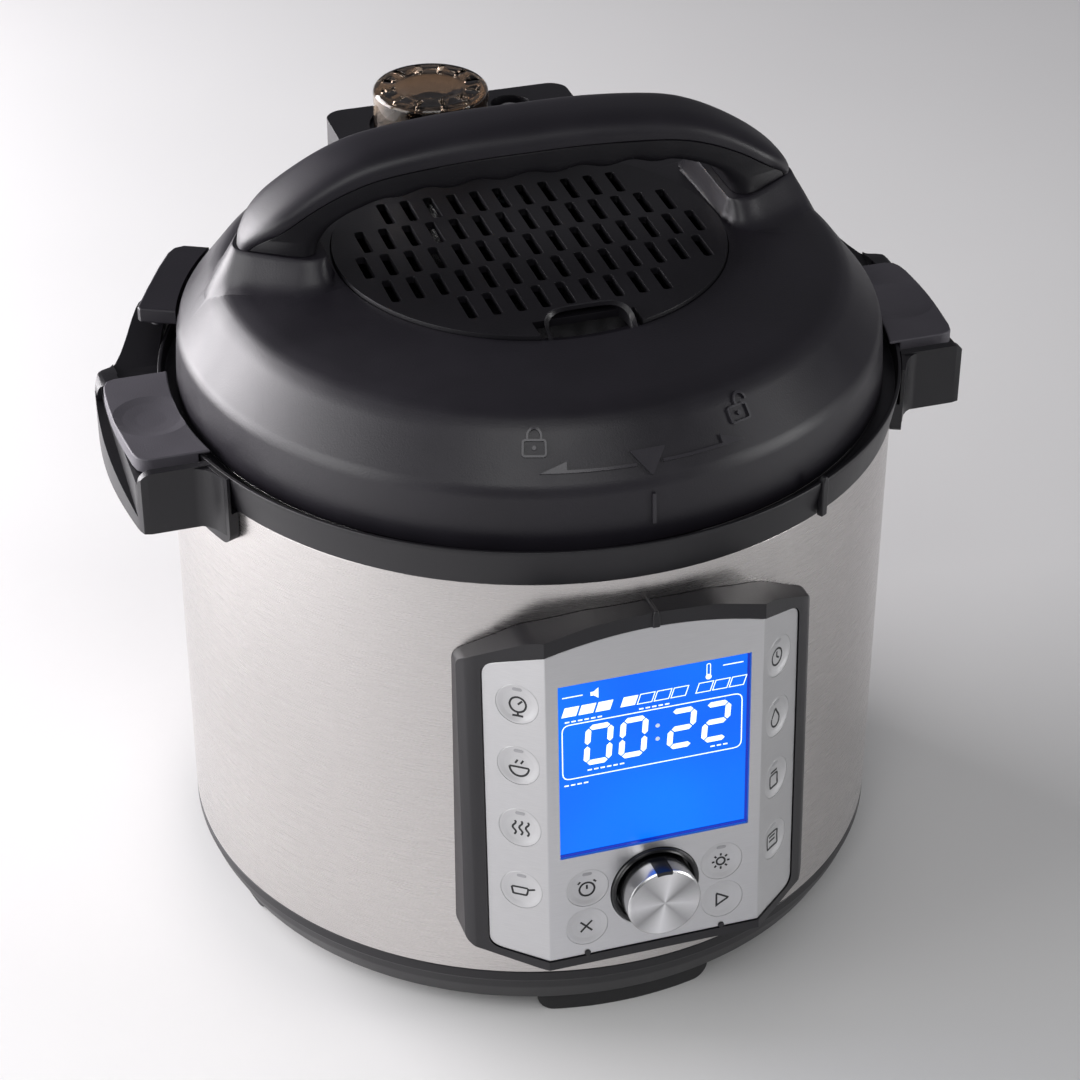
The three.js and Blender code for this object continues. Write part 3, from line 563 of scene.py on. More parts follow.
# ---- base and body ----
def make_base():
    tub = turned("bottom_base", [
        (106, 8.6), (130, 8.6), (136.3, 11.5), (141.0, 20.6), (142.3, 25.2), (143, 25.9), (143, 30.2),
        (141.8, 30.2), (141.8, 40), (138.8, 40), (138.8, 27), (132, 13.5), (106, 12),
    ], 192, rounding=0.8)
    carve(tub, block("window", -13.8, 13.8, 117, 150, 11.7, 29.2))
    piece(tub, "base", "black")
    cover = disc("bottom_cover", 105.4, 9, 11.7, steps=128)
    vents = [
        prism("vent", rounded_box(side * 42 - 24, side * 42 + 24, row * 12 - 2, row * 12 + 2, 1.9, 5), 0, 20)
        for row in range(-3, 4) for side in (-1, 1)
    ]
    carve(cover, joined(vents))
    screws = [(78 * math.cos(a), 78 * math.sin(a)) for a in (math.radians(45 + 90 * i) for i in range(4))]
    carve(cover, joined([disc("sink", 4.6, 5, 10.2, centre, 32) for centre in screws]))
    soften(cover, 0.5, 2)
    piece(cover, "base", "black")


def make_feet():
    for name, middle in (("front", -90), ("right", 0), ("rear", 90), ("left", 180)):
        foot = prism(f"foot_{name}", ring_sector(107, 131.4, middle - 16, middle + 16), 0, 8.3)
        carve(foot, *[corner_tool(middle - 16 * side, side, 7, 0, 100, 140) for side in (1, -1)])
        soften(foot, 1.8, 4, 50)
        piece(foot, "base", "rubber")


def make_power_inlet():
    inlet = block("power_inlet", -13.5, 13.5, 117.6, 137.6, 12, 28.9)
    carve(inlet, block("socket", -11.2, 11.2, 122, 138.5, 14.2, 26.8))
    soften(inlet, 0.7, 3)
    piece(inlet, "base", "gloss_black")
    pins = [block("pin", x - 1, x + 1, 120, 131, z - 2, z + 2) for x, z in ((-7, 18.8), (7, 18.8), (0, 22.6))]
    piece(joined([soften(pin, 0.4, 2) for pin in pins], "inlet_pins"), "base", "bright")


def make_steel_housing():
    inside, bottom, top = STEEL_RADIUS - 0.8, 30.5, 213.3
    wall = [(inside, bottom), (STEEL_RADIUS, bottom), (STEEL_RADIUS, top), (inside, top)]
    tube = turned("steel_housing", wall, 224, rounding=0.2)
    carve(tube, block("panel_gap", -54, 54, -150, -100, 64, 184))
    piece(tube, "base", "steel", weighted=False)


def make_top_ring():
    turned_piece("top_ring", "base", "black", [
        (124.5, 216), (139, 216), (139, 206), (141.8, 206), (141.8, 213.6), (143.6, 213.6),
        (RING_RADIUS, 227.6), (RING_RADIUS, 229), (144.7, 229), (144.2, 222.5), (124.5, 222.5),
    ], 192, rounding=0.45)
    right = [(1.6, 214.2), (1.7, 228.6), (0.9, 230.6)]
    left = [(-x, z) for x, z in right]
    mark = prism("open_mark", [left[0]] + right + [(0, 231.3)] + left[:0:-1], 0, 2.7)
    mark.data.transform(Matrix.Rotation(math.radians(90), 4, "X"))
    mark.data.transform(Matrix.Translation((0, -144.5 * MM, 0)))
    soften(edit(mark), 0.6, 3)
    mark.data.transform(Matrix.Rotation(math.radians(30.5), 4, "Z"))
    piece(mark, "base", "black")


# ---- side handles, drawn for +X and mirrored for -X ----
def handle_plan():
    rim = [(134, -48), (162.2, -48), (164.9, -47.3), (165.9, -44.8)]
    for y in range(-42, 29, 5):
        rim.append((166.0 + 0.7 * (y + 42) / 70 + 4.0 * math.sin(math.pi * (y + 46) / 86), y))
    return rim + [(166.2, 33.6), (163.6, 36.6), (160.4, 38.6), (157.6, 41.4), (154.4, 46.2), (151.2, 52.2),
                  (142, 71), (131, 84), (118, 77)]


def trim_handle_top(body):
    """Cuts the level top under the pad, the wall in front of it and the ridge behind it."""
    level = block("level", 110, 159, -44.4, 30, 224.2, 250)
    level_end = block("level_end", 158, 190, -44.4, 23.6, 224.2, 250)
    carve(body, level, level_end)
    front = [(100, 229.1)] + arc(5.4, 90, 0, 8, (160.4, 223.7)) + [(190, 223.7), (190, 260), (100, 260)]
    carve(body, front_view("front_top", front, -70, -44.2))
    rear = arc(5, 90, 0, 8, (163.2, 223.3)) + [(190, 223.3), (190, 260), (163.2, 260)]
    carve(body, front_view("rear_top", rear, 23.4, 36.8))
    slope = [(20, 224.2), (33, 224.4), (38, 225.2), (62, 234.4), (67, 235.6), (90, 236.3), (90, 250), (20, 250)]
    ridge = [(20, 228.3), (33, 228.1), (39, 226.8), (46, 228.4), (62, 234.6), (67, 235.7), (90, 236.4)]
    ridge += [(90, 250), (20, 250)]
    carve(body, side_view("slope", slope, 100, 158.7), side_view("ridge", ridge, 158.3, 185))


def make_side_handle(side, label):
    body = prism("raised", handle_plan(), 203, 236)
    flange = prism("flange", ring_sector(141, 147.7, -23.8, 30, 28), 199.5, 228.9)
    fillet = [(137, -46), (147, -47.6), (143.6, -48.5), (141.2, -50), (139.3, -52), (138, -54.2), (137, -56.2)]
    fillet += [(136, -57.7), (133, -56)]
    carve(body, flange, prism("fillet", fillet, 203.5, 228.5), operation="UNION")
    carve(body, corner_tool(-23.8, 1, 5, 199.5, 138, 152))
    carve(body, disc("steel_room", STEEL_ROOM, 190, 214, steps=192))
    ring_room = [(0, 213.2), (RING_RADIUS + 0.3, 213.2), (RING_RADIUS + 0.3, 260), (0, 260)]
    carve(body, turned("ring_room", ring_room, 192, rounding=0))
    trim_handle_top(body)
    carve(body, block("underside", 152, 164.6, -44, 30, 195, 219))
    carve(body, side_view("band", [(-43.2, 208.6), (24.3, 221), (24.3, 250), (-43.2, 250)], 166.2, 180))
    soften(body, 0.9, 3, 33)
    body.name = f"side_handle_{label}"
    if side < 0:
        mirror_x(body)
    piece(body, "base", "black")


def make_handle_pad(side, label):
    outline = [(136, -40), (158.5, -40), (162, -39.2), (164.2, -37), (165.2, -33)]
    for y in range(-28, 17, 6):
        outline.append((165.2 + 1.2 * (y + 30) / 48 + 1.6 * math.sin(math.pi * (y + 33) / 54), y))
    pad = prism("pad", outline + [(166.2, 18.5), (164.6, 21.8), (161, 23), (136, 23)], 224.5, PAD_TOP)
    lap, ledge = RING_RADIUS + 0.6, 229.3
    ring_room = [(90, 200), (lap, 200), (lap, ledge), (142.4, ledge), (142.4, 260), (90, 260)]
    carve(pad, turned("ring_room", ring_room, 192, rounding=0))
    soften(pad, 1.5, 5, 40)
    dimple = [(0, -1.5), (6, -1.3), (11, -0.8), (15, 0), (18, 0.9), (18, 9), (0, 9)]
    spot = Matrix.Translation(Vector((*DIMPLE, PAD_TOP)) * MM)
    carve(pad, turned("dimple", dimple, 96, place=spot))
    pad.name = f"handle_pad_{label}"
    if side < 0:
        mirror_x(pad)
    # the pad's light grey is painted sheen
    piece(pad, "base", "pad", sharp=40)


# ---- inside the body ----
def make_inner_parts():
    liner = [(30, 42), (115.6, 42), (121.6, 48), (121.6, 214.5), (137.5, 214.5), (137.5, 215.7), (120.6, 215.7),
             (120.6, 49), (114.6, 43.2), (30, 43.2)]
    turned_piece("inner_liner", "base", "bright", liner, 128)
    ring = [(123.4, 222.8), (138.5, 222.8), (138.5, 224.2), (124.9, 224.2), (124.9, 232), (123.4, 232)]
    ring = turned("locking_ring", ring, 160, rounding=0.3)
    tabs = [prism("tab", ring_sector(120.6, 124.2, a - 9, a + 9, 10), 230.6, 231.9) for a in range(0, 360, 60)]
    carve(ring, joined(tabs), operation="UNION")
    piece(ring, "base", "bright")
    plate = [(16.4, 46), (92, 46), (96, 50), (96, 55.7), (16.4, 55.7)]
    turned_piece("heating_plate", "base", "cast", plate, 96)
    sensor = [(0, 36), (4.5, 36), (4.5, 51.7), (15.6, 51.7), (15.6, 55.7), (0, 55.7)]
    turned_piece("sensor_button", "sensor_button", "bright", sensor, 64)
    for node, material in (("sensor_spring", "bright"), ("power_board", "board"), ("control_board", "board")):
        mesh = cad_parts[node]
        mesh.data.materials.clear()
        mesh.data.materials.append(MATS[material])


def make_inner_pot():
    """A deep-drawn pot: a flat bottom, wide rounded corners and a rolled rim."""
    corner = (97, 70)
    outer, inner = arc(14, -90, 0, 10, corner), arc(13, 0, -90, 10, corner)
    rim = [(111, 222.6), (112.4, 223.7), (119.8, 223.7), (119.8, 224.9), (111.6, 224.9), (110, 223.4)]
    profile = [(0, 56)] + outer + rim + inner + [(0, 57)]
    turned_piece("inner_pot", "base", "bright", profile, 160, rounding=0.4)


def make_condensation_cup():
    cup = prism("condensation_cup", rounded_box(-31, 31, 147.6, 172.1, 7), 152, 198)
    carve(cup, prism("cavity", rounded_box(-29.2, 29.2, 149.4, 170.3, 5.2), 154, 203))
    soften(cup, 0.7, 3)
    piece(cup, "condensation_cup", "clear")
    bracket = block("cup_bracket", -35.6, 35.6, 130, 156, 148, 201)
    carve(bracket, block("room", -31.6, 31.6, 147.1, 160, 142, 208))
    carve(bracket, disc("steel_room", STEEL_ROOM, 140, 210, steps=160))
    soften(bracket, 1.2, 4)
    piece(bracket, "base", "black")


# ---- control panel, drawn flat in its own frame ----
def on_panel(obj, material, sharp=32):
    obj.matrix_world = PANEL
    piece(obj, "base", material, sharp)


def fold_drop(x):
    """How far the folded face stands behind its middle facet."""
    return max(abs(x) - CREASE, 0) * FACE_DROP / (FACE_EDGE - CREASE)


def folded_sheet(name, front, depth):
    """A sheet with the panel's three-sided section; its middle stands at front."""
    edge = FACE_EDGE + 6
    side = front - fold_drop(edge)
    upper = [(edge, side), (CREASE, front), (-CREASE, front), (-edge, side)]
    lower = [(x, z - depth) for x, z in reversed(upper)]
    return front_view(name, upper + lower, -95, 75)


def face_outline(margin=0.0, corner=4.5):
    """The front outline of the face: an arched top and a nearly straight bottom."""
    edge, top, bottom = FACE_EDGE + margin, 44.5 + margin, -81.8 - margin
    arch = [(x, 56.8 - 5.3 * (abs(x) / CREASE) ** 2 + margin) for x in range(-36, 37, 6)]
    points = [(-edge, top), (-CREASE, 51.5 + margin), *arch, (CREASE, 51.5 + margin), (edge, top)]
    corners = {0, len(points) - 1, len(points), len(points) + 3}
    points += [(edge, bottom), (CREASE, -84.4 - margin), (-CREASE, -84.4 - margin), (-edge, bottom)]
    points = [Vector(p) for p in points]
    out = []
    for i, point in enumerate(points):
        if i not in corners:
            out.append(tuple(point))
            continue
        before = (points[i - 1] - point).normalized() * corner
        after = (points[(i + 1) % len(points)] - point).normalized() * corner
        out += bend(point + before, point, point + after, 6)
    return out[::-1]


def button_places():
    """(name, frame, x, y) of each of the twelve buttons."""
    places = []
    for side, label in SIDES[::-1]:
        for i, y in enumerate(SIDE_BUTTON_ROWS):
            places.append((f"button_{label}_{i + 1}", FACET[side], side * 11, y))
        for i, (x, y) in enumerate(INNER_BUTTONS):
            places.append((f"button_inner_{label}_{i + 1}", PANEL, side * x, y))
    return places


def button_cutters(radius):
    """Cylinders through every button hole, in the panel's frame."""
    cutters = []
    for _, place, x, y in button_places():
        tool = disc("hole", radius, -6, 6, (x, y), 48)
        tool.data.transform(PANEL.inverted() @ place)
        cutters.append(tool)
    return joined(cutters)


def make_bezel():
    section = [(-69, -46), (69, -46), (69, -22.5), (66.4, -18.2), (62.9, -15.6), (42.4, 0.5),
               (-42.4, 0.5), (-62.9, -15.6), (-66.4, -18.2), (-69, -22.5)]
    rim = rounded([(69, 44.5), (47, 57), (24, 61.8), (0, 63), (-24, 61.8), (-47, 57), (-69, 44.5), (-69, -84),
                   (-44, -88.4), (44, -88.4), (69, -84)], 3.5)
    bezel = front_view("panel_bezel", section, -95, 75)
    carve(bezel, prism("rim", rim, -60, 10), operation="INTERSECT")
    inside = prism("inside", face_outline(0.3), -60, 30)
    carve(bezel, carve(folded_sheet("pocket", 22.7, 25), inside, operation="INTERSECT"))
    steel = disc("steel_room", STEEL_ROOM, 0, 260, steps=160)
    steel.data.transform(PANEL.inverted())
    carve(bezel, steel, block("back", -52, 52, -79, 44, -60, -14), block("window", -40, 40, -78, 42, -15, 10))
    soften(bezel, 1.3, 4, 25)
    carve(bezel, button_cutters(BUTTON_RADIUS + 0.1))
    on_panel(bezel, "black", sharp=30)
    outline = [(-1.6, 56.6), (1.6, 56.6), (1.5, 61.0), (0.8, 63.6), (-0.8, 63.6), (-1.5, 61.0)]
    on_panel(soften(prism("bezel_rib", outline, -10, 1.3), 0.7, 3), "black")


def make_face_plate():
    plate = folded_sheet("face_plate", 0, 2)
    carve(plate, prism("outline", face_outline(), -60, 10), operation="INTERSECT")
    soften(plate, 0.35, 3, 20)
    wide, tall = SCREEN_WIDE + 0.3, SCREEN_TALL + 0.3
    carve(plate, block("window", -wide, wide, -tall, tall, -8, 8))
    carve(plate, disc("knob_hole", 17.8, -8, 8, (0, KNOB_LOW), 96))
    carve(plate, button_cutters(BUTTON_RADIUS + 0.05))
    on_panel(plate, "face", sharp=30)
    clips = [soften(disc("clip", 1.25, -1.4, 0.7, (x, -83.6), 24), 0.4, 2) for x in (-27, 27)]
    on_panel(joined(clips, "face_clips"), "black")


# The bars lit in each figure, lettered clockwise from the top, with g across the middle.
SEVEN = {"0": "abcdef", "2": "abged"}


def digit_segments(mark, x, y, wide, tall, thick):
    """The lit bars of a seven-segment figure as slanted six-sided outlines; (x, y) is its lower left corner."""
    half, gap, slant = thick / 2, 0.35, 0.07
    right, middle, top = x + wide, y + tall / 2, y + tall
    bars = {
        "a": ((x, top), (right, top)), "g": ((x, middle), (right, middle)), "d": ((x, y), (right, y)),
        "f": ((x, middle), (x, top)), "b": ((right, middle), (right, top)),
        "e": ((x, y), (x, middle)), "c": ((right, y), (right, middle)),
    }
    shapes = []
    for letter in SEVEN[mark]:
        start, end = (Vector(p) for p in bars[letter])
        along = (end - start).normalized()
        across = Vector((-along.y, along.x)) * half
        a, b = start + along * gap, end - along * gap
        step = along * half
        shape = [a, a + step + across, b - step + across, b, b - step - across, a + step - across]
        shapes.append([(p.x + (p.y - y) * slant, p.y) for p in shape])
    return shapes


def make_display():
    glass = block("display", -SCREEN_WIDE, SCREEN_WIDE, -SCREEN_TALL, SCREEN_TALL, -5, -0.9)
    on_panel(soften(glass, 0.3, 2), "screen")
    low, high = 0.1 - SCREEN_TALL, SCREEN_TALL - 0.1
    edge = [block("edge", SCREEN_WIDE - 1.0, SCREEN_WIDE, low, high, -0.95, -0.6),
            block("edge", -SCREEN_WIDE, SCREEN_WIDE - 1.05, low, low + 1.2, -0.95, -0.6)]
    on_panel(joined([soften(bar, 0.08, 2) for bar in edge], "display_rim"), "screen_rim")


def make_segments():
    """Everything that lights up white on the display; dashes stand where its captions would be."""
    parts = []

    def flat(x, y, lift):
        return (x, y, -0.9 + lift)

    def fill(outline):
        parts.append(slab(outline, flat, -0.05, 0.06))

    def draw(line, width, closed=False):
        parts.append(ribbon(line, width, flat, -0.05, 0.06, closed))

    for x, mark in ((-26.5, "0"), (-13.0, "0"), (5.8, "2"), (19.3, "2")):
        for shape in digit_segments(mark, x, 2.6, 8.6, 15.2, 2.2):
            fill(shape)
    # the progress bar: three lit cells, then one lit and three open, then three open
    cell, tall, base, slant = 5.6, 4.0, 24.2, 1.3
    for first, count, lit in ((-35.8, 3, 3), (-13.2, 4, 1), (16.0, 3, 0)):
        for i in range(count):
            x = first + i * (cell + 0.9)
            shape = [(x, base), (x + cell, base), (x + cell + slant, base + tall), (x + slant, base + tall)]
            if i < lit:
                fill(shape)
            else:
                draw(shape, 0.32, True)
    draw(rounded([(-35.6, -3.2), (34.2, -3.2), (34.2, 20.6), (-35.6, 20.6)], 3), 0.4, True)
    # a loudspeaker, and a thermometer's tube and bulb
    fill([(-24.6, 31.6), (-23.4, 31.6), (-21.6, 30.2), (-21.6, 34.6), (-23.4, 33.2), (-24.6, 33.2)])
    draw(rounded([(20.2, 31.0), (21.6, 31.0), (21.6, 36.0), (20.2, 36.0)], 0.7), 0.3, True)
    fill(round_outline(1.15, 20, (20.9, 30.4)))
    draw([(26.5, 34.2), (34.4, 34.2)], 0.4)
    draw([(-35.4, 32.6), (-27.6, 32.6)], 0.4)
    rows = ((-34.5, 21.9, 6), (-6.0, 21.9, 5), (-26.0, -0.6, 6), (22.0, -0.6, 3), (-35.0, -5.9, 4))
    for first, y, count in rows:
        for i in range(count):
            x = first + i * 2.5
            draw([(x, y), (x + 1.7, y)], 0.55)
    piece(gathered("display_segments", parts, PANEL), "base", "segment", weighted=False)
    parts.clear()
    for y in (7.4, 13.2):
        fill(round_outline(0.85, 20, (1.2, y)))
    piece(gathered("display_faint_segments", parts, PANEL), "base", "faint_segment", weighted=False)


def circle(radius, start=0, end=360, centre=(0, 0)):
    return arc(radius, start, end, 20, centre)


def loop_box(outline, radius):
    """A rounded outline whose line runs on to its first corner."""
    return rounded(outline, radius) + [outline[0]]


# Pictograms within a square of about ten millimetres: lists of open lines.
PICTOGRAMS = {
    "button_left_1": [circle(3.2), [(0, 0), (1.7, 1.7)], [(-2.1, -4.6), (2.1, -4.6)], [(0, -3.2), (0, -4.6)]],
    "button_left_2": [[(-3.8, -0.6), (3.8, -0.6)], circle(3.8, 180, 360, (0, -0.6)),
                      [(-1.6, 0.9), (-0.6, 2.5)], [(0.6, 0.9), (1.6, 2.5)]],
    "button_left_3": [[(x + 0.7 * math.sin(k * 0.9), k * 0.62 - 3.2) for k in range(11)]
                      for x in (-2.6, 0, 2.6)],
    "button_left_4": [loop_box([(-3.6, -2.2), (1.8, -2.2), (2.5, 1), (-4.3, 1)], 0.6),
                      [(2.4, 0.3), (5.2, 1.3)]],
    "button_right_1": [circle(3.4), [(0, 0), (0, 2.2)], [(0, 0), (1.5, -1)]],
    "button_right_2": [[(0, 3.8), (-2.3, 0.2)], circle(2.75, 150, 390, (0, -1.3)), [(0, 3.8), (2.3, 0.2)]],
    "button_right_3": [loop_box([(-2.6, -3.6), (2.6, -3.6), (2.6, 1.8), (-2.6, 1.8)], 0.8),
                       [(-2.2, 3.2), (2.2, 3.2)]],
    "button_right_4": [loop_box([(-3.6, -3.2), (3.6, -3.2), (3.6, 3.2), (-3.6, 3.2)], 0.7),
                       [(-2, 1.6), (2, 1.6)], [(-2, -0.2), (2, -0.2)]],
    "button_inner_left_1": [circle(3.0, centre=(0, -0.4)), [(0, -0.4), (0, 1.5)], [(-2.6, 3.4), (-3.6, 2.4)],
                            [(2.6, 3.4), (3.6, 2.4)]],
    "button_inner_left_2": [[(-2.3, -2.3), (2.3, 2.3)], [(-2.3, 2.3), (2.3, -2.3)]],
    "button_inner_right_1": [circle(1.7)] + [
        list(ray) for ray in zip(arc(2.5, 0, 315, 7), arc(3.6, 0, 315, 7))],
    "button_inner_right_2": [[(-1.9, -2.8), (-1.9, 2.8), (2.9, 0), (-1.9, -2.8)]],
}
WITHOUT_LAMP = ("button_inner_left_2", "button_inner_right_2")


def on_dish(x, y, lift):
    """A point that lies lift above the dished face of a button."""
    reach = math.hypot(x, y)
    for (r0, z0), (r1, z1) in zip(BUTTON_DISH, BUTTON_DISH[1:]):
        if reach <= r1:
            break
    return (x, y, z0 + (z1 - z0) * (min(reach, r1) - r0) / (r1 - r0) + lift)


def legend_lines(name):
    """A button's pictogram as raised lines on its dish."""
    lines = []
    for line in PICTOGRAMS[name]:
        closed = len(line) > 3 and (Vector(line[0]) - Vector(line[-1])).length < 0.01
        points = evenly(line, max(2, int(length_of(line) / 0.7)))
        if closed:
            points = points[:-1]
        lines.append(ribbon([(p.x, p.y - 0.6) for p in points], 0.78, on_dish, -0.12, 0.06, closed))
    return lines


def make_buttons():
    edge = BUTTON_RADIUS
    cap = [(0, -3.6), (edge, -3.6), (edge, -0.12), (edge - 0.15, -0.03), *BUTTON_DISH[3::-1]]
    window = [(x, y + 6.15) for x, y in rounded_box(-1.9, 1.9, -0.75, 0.75, 0.7, 4)]
    for name, place, x, y in button_places():
        spot = place @ Matrix.Translation((x * MM, y * MM, 0))
        piece(turned(name, cap, 64, rounding=0.25, place=spot), name, "button", sharp=50)
        piece(gathered(f"{name}_legend", legend_lines(name), spot), name, "ink", weighted=False)
        if name not in WITHOUT_LAMP:
            lamp = gathered(f"{name}_lamp", [slab(window, on_dish, -0.15, 0.08)], spot)
            piece(lamp, name, "lamp", weighted=False)


def make_knob():
    seat = [(4, -4.2), (17.5, -4.2), (17.5, 0.5), (17.0, 1.3), (15.7, 0.9), (15.4, 0.2), (15.4, -3), (4, -3)]
    turned_piece("knob_seat", "base", "gloss_black", seat, 96, rounding=0.3, place=KNOB_PLACE)
    shaft = [(0, -19), (5, -19), (5, -17.6), (3, -17.6), (3, 6.7), (0, 6.7)]
    turned_piece("knob_shaft", "knob_shaft", "bright", shaft, 48, place=KNOB_PLACE)
    knob = turned("knob", [
        (0, 7), (3.3, 7), (3.3, -1.6), (14.2, -1.6), (14.5, -1.2), (14.5, 10.9), (13.75, 11.6), (0, 11.6),
    ], 128, rounding=0.18, place=KNOB_PLACE)
    carve(knob, prism("notch", ring_sector(12.9, 16, 77, 103, 8), 2.0, 14, KNOB_PLACE))
    piece(knob, "knob", "knob", sharp=22)
    knob.data.materials.append(MATS["knob_side"])
    for face in knob.data.polygons:
        if abs(face.normal.z) < 0.2 and math.hypot(face.center.x, face.center.y) > 13 * MM:
            face.material_index = 1
    inlay = prism("knob_pointer", ring_sector(12.95, 14.35, 77.4, 102.6, 12), 2.05, 11.45, KNOB_PLACE)
    piece(soften(inlay, 0.15, 2), "knob", "gloss_black")


# ---- lid ----
COVER_OUTER = [(139, 225), (138.4, 236), (137.5, 246.8), (136.4, 249.8), (123.6, 266.4), (119.4, 270),
               (113.5, 271.7), (RECESS_RADIUS, 276)]
COVER_INNER = [(71, 273.6), (71, 271.8), (112.8, 268.8), (117.6, 267.4), (121.2, 264.4), (133.4, 248.6),
               (134.4, 246.6), (136, 225)]
FOOT_HALF = [(0, 16), (64, 16), (83, 17.2), (88.5, 17.1), (93, 15.2), (98, 12.1), (104, 8.0), (108, 5.4),
             (111, 4.0), (113.4, 3.2)]
PEDESTAL_PLAN = [(80.4, -4.4), (88.6, -4.8), (97, 0.4), (108, 8.2), (113, 13), (113, 17), (109, 26), (100, 34),
                 (90, 42), (85, 46), (80.4, 46)]
PEDESTAL_MIDDLE = (96, 16)
# How far out each ring of the flare lies, and its share of the rise above the lid.
PEDESTAL_FLARE = [(0, 1.0), (0.5, 0.97), (1.3, 0.86), (2.6, 0.66), (4.0, 0.45), (5.4, 0.27), (6.8, 0.13),
                  (8.2, 0.05), (10, 0), (12, -0.09)]
PEDESTAL_DEPTH = 262.0


def along(table, at):
    """Reads a table of (position, value) points at a position, in straight steps."""
    for (p0, v0), (p1, v1) in zip(table, table[1:]):
        if at <= p1:
            break
    return v0 + (v1 - v0) * min((at - p0) / (p1 - p0), 1)


def clamped(value):
    """The value kept between nought and one."""
    return min(max(value, 0), 1)


def lid_top(x, y):
    """Height of the lid's plain turned surface over a point."""
    return along(COVER_OUTER[::-1], max(math.hypot(x, y), RECESS_RADIUS))


def pedestal_ring(plan, offset, share):
    """One ring of the flare: steep on the inner sides, and sloping down like a ramp on the outer side."""
    ring = []
    for i, point in enumerate(plan):
        edge = (plan[(i + 1) % len(plan)] - plan[i - 1]).normalized()
        out = Vector((edge.y, -edge.x))
        if out.dot(point - Vector(PEDESTAL_MIDDLE)) < 0:
            out = -out
        spot = point + out * offset * (1 - 0.72 * clamped(-out.x * 1.4))
        flare = lid_top(*spot) + share * (PEDESTAL_TOP - lid_top(*spot))
        ramp = PEDESTAL_TOP - 1.62 * offset - 0.012 * offset * offset
        height = flare + (max(ramp, flare) - flare) * clamped(out.x * 1.5 - 0.35)
        ring.append((spot.x, spot.y, height))
    return ring


def swept(name, rings):
    """A closed tube through equal rings of points, with a flat face at each end."""
    count, last = len(rings[0]), len(rings) - 1
    verts = [point for ring in rings for point in ring]
    caps = [list(range(count)), [last * count + k for k in range(count)]]
    return edit(new_object(name, verts, caps + bands(len(rings), count)))


def make_pedestal(side):
    """The steep flare of the lid under one end of the handle; outwards it runs on into the lid's shoulder."""
    plan = [Vector(p) for p in rounded(PEDESTAL_PLAN, 4, segments=6)]
    rings = [pedestal_ring(plan, offset, share) for offset, share in PEDESTAL_FLARE]
    rings.append([(x, y, PEDESTAL_DEPTH) for x, y, z in rings[-1]])
    pedestal = swept("pedestal", rings)
    if side < 0:
        mirror_x(pedestal)
    inner = [(r - 0.4, z - 0.4) for r, z in reversed(COVER_OUTER)]
    return carve(pedestal, turned("under", [(0, 200), (0, 275.6)] + inner + [(138, 200)], 128, rounding=0))


def make_lid_cover():
    outer = rounded(COVER_OUTER, 3.2, closed=False, segments=8)
    cover = turned("lid_cover", outer + [(RECESS_RADIUS, 273.6)] + COVER_INNER, 256, rounding=0.2)
    carve(cover, make_pedestal(1), make_pedestal(-1), operation="UNION")
    holes = [disc("hole", VALVE_BORE, 250, 300, VALVE, 48), disc("hole", 6.5, 250, 300, FLOAT, 48)]
    holes += [disc("hole", SCREW_BORE, 240, 300, (side * SCREW_X, HANDLE_Y), 24) for side in (1, -1)]
    carve(cover, *holes)
    carve(cover, disc("throat", 71, 250, 300, steps=192), disc("recess", RECESS_RADIUS, 273.6, 300, steps=192))
    piece(cover, "lid", "charcoal", sharp=28, weighted=False)


def lid_surface(azimuth, height, lift):
    """A point on the lid's front: azimuth in degrees to the right of the front, height in millimetres."""
    for (r0, z0), (r1, z1) in zip(COVER_OUTER, COVER_OUTER[1:]):
        if height <= z1:
            break
    share = (height - z0) / (z1 - z0)
    length = math.hypot(r1 - r0, z1 - z0)
    out, up = (z1 - z0) / length, -(r1 - r0) / length
    radius = r0 + (r1 - r0) * share + lift * out
    angle = math.radians(azimuth)
    return (radius * math.sin(angle), -radius * math.cos(angle), height + lift * up)


def make_lid_marks():
    """Raised marks: a pointer with an arrow each way, an open and a closed padlock, and a line below."""
    middle, low, high, fine = 1.4, -0.4, 0.95, 0.8
    parts = []

    def shoulder(x, y, lift):
        """x is millimetres to the right of the pointer, and y is millimetres up the slope."""
        return lid_surface(middle + math.degrees(x / 132.5), 254.4 + y * 0.79, lift)

    def skirt(x, y, lift):
        return lid_surface(middle + math.degrees(x / 137), y, lift)

    def draw(line, width, closed=False, surface=shoulder):
        parts.append(ribbon(line, width, surface, low, high, closed))

    pointer = rounded([(-6.9, 4.9), (6.9, 4.9), (0, -5.0)], 1.0)
    parts.append(slab(pointer, shoulder, low, high + 0.15))
    for side, reach in ((-1, 31), (1, 30)):
        draw([(side * x, -0.2) for x in range(5, reach + 1, 2)], 1.1)
        tip = [(side * (reach - 1), -0.75), (side * (reach + 8.6), -0.75), (side * (reach - 1), 3.4)]
        parts.append(slab(tip[::side], shoulder, low, high))
    draw([(0, y) for y in (232.5, 236, 240, 244.4)], 1.3, surface=skirt)
    for x, shift, catch in ((-41.5, 0, 11.8), (40, 2.4, 12.6)):
        draw(rounded([(x - 4.2, 5.6), (x + 4.2, 5.6), (x + 4.2, 11.4), (x - 4.2, 11.4)], 1.1), fine, True)
        bow = arc(2.6, 0, 180, 12, (x + shift, 13.0))
        draw([(x + 2.6 + shift, catch)] + bow + [(x - 2.6 + shift, 11.8)], fine)
        parts.append(slab(round_outline(0.8, 12, (x, 8.6)), shoulder, low, high))
    # the marks take a lighter grey than the lid, a painted highlight on their raised edges
    piece(gathered("lid_marks", parts), "lid", "mark", weighted=False)


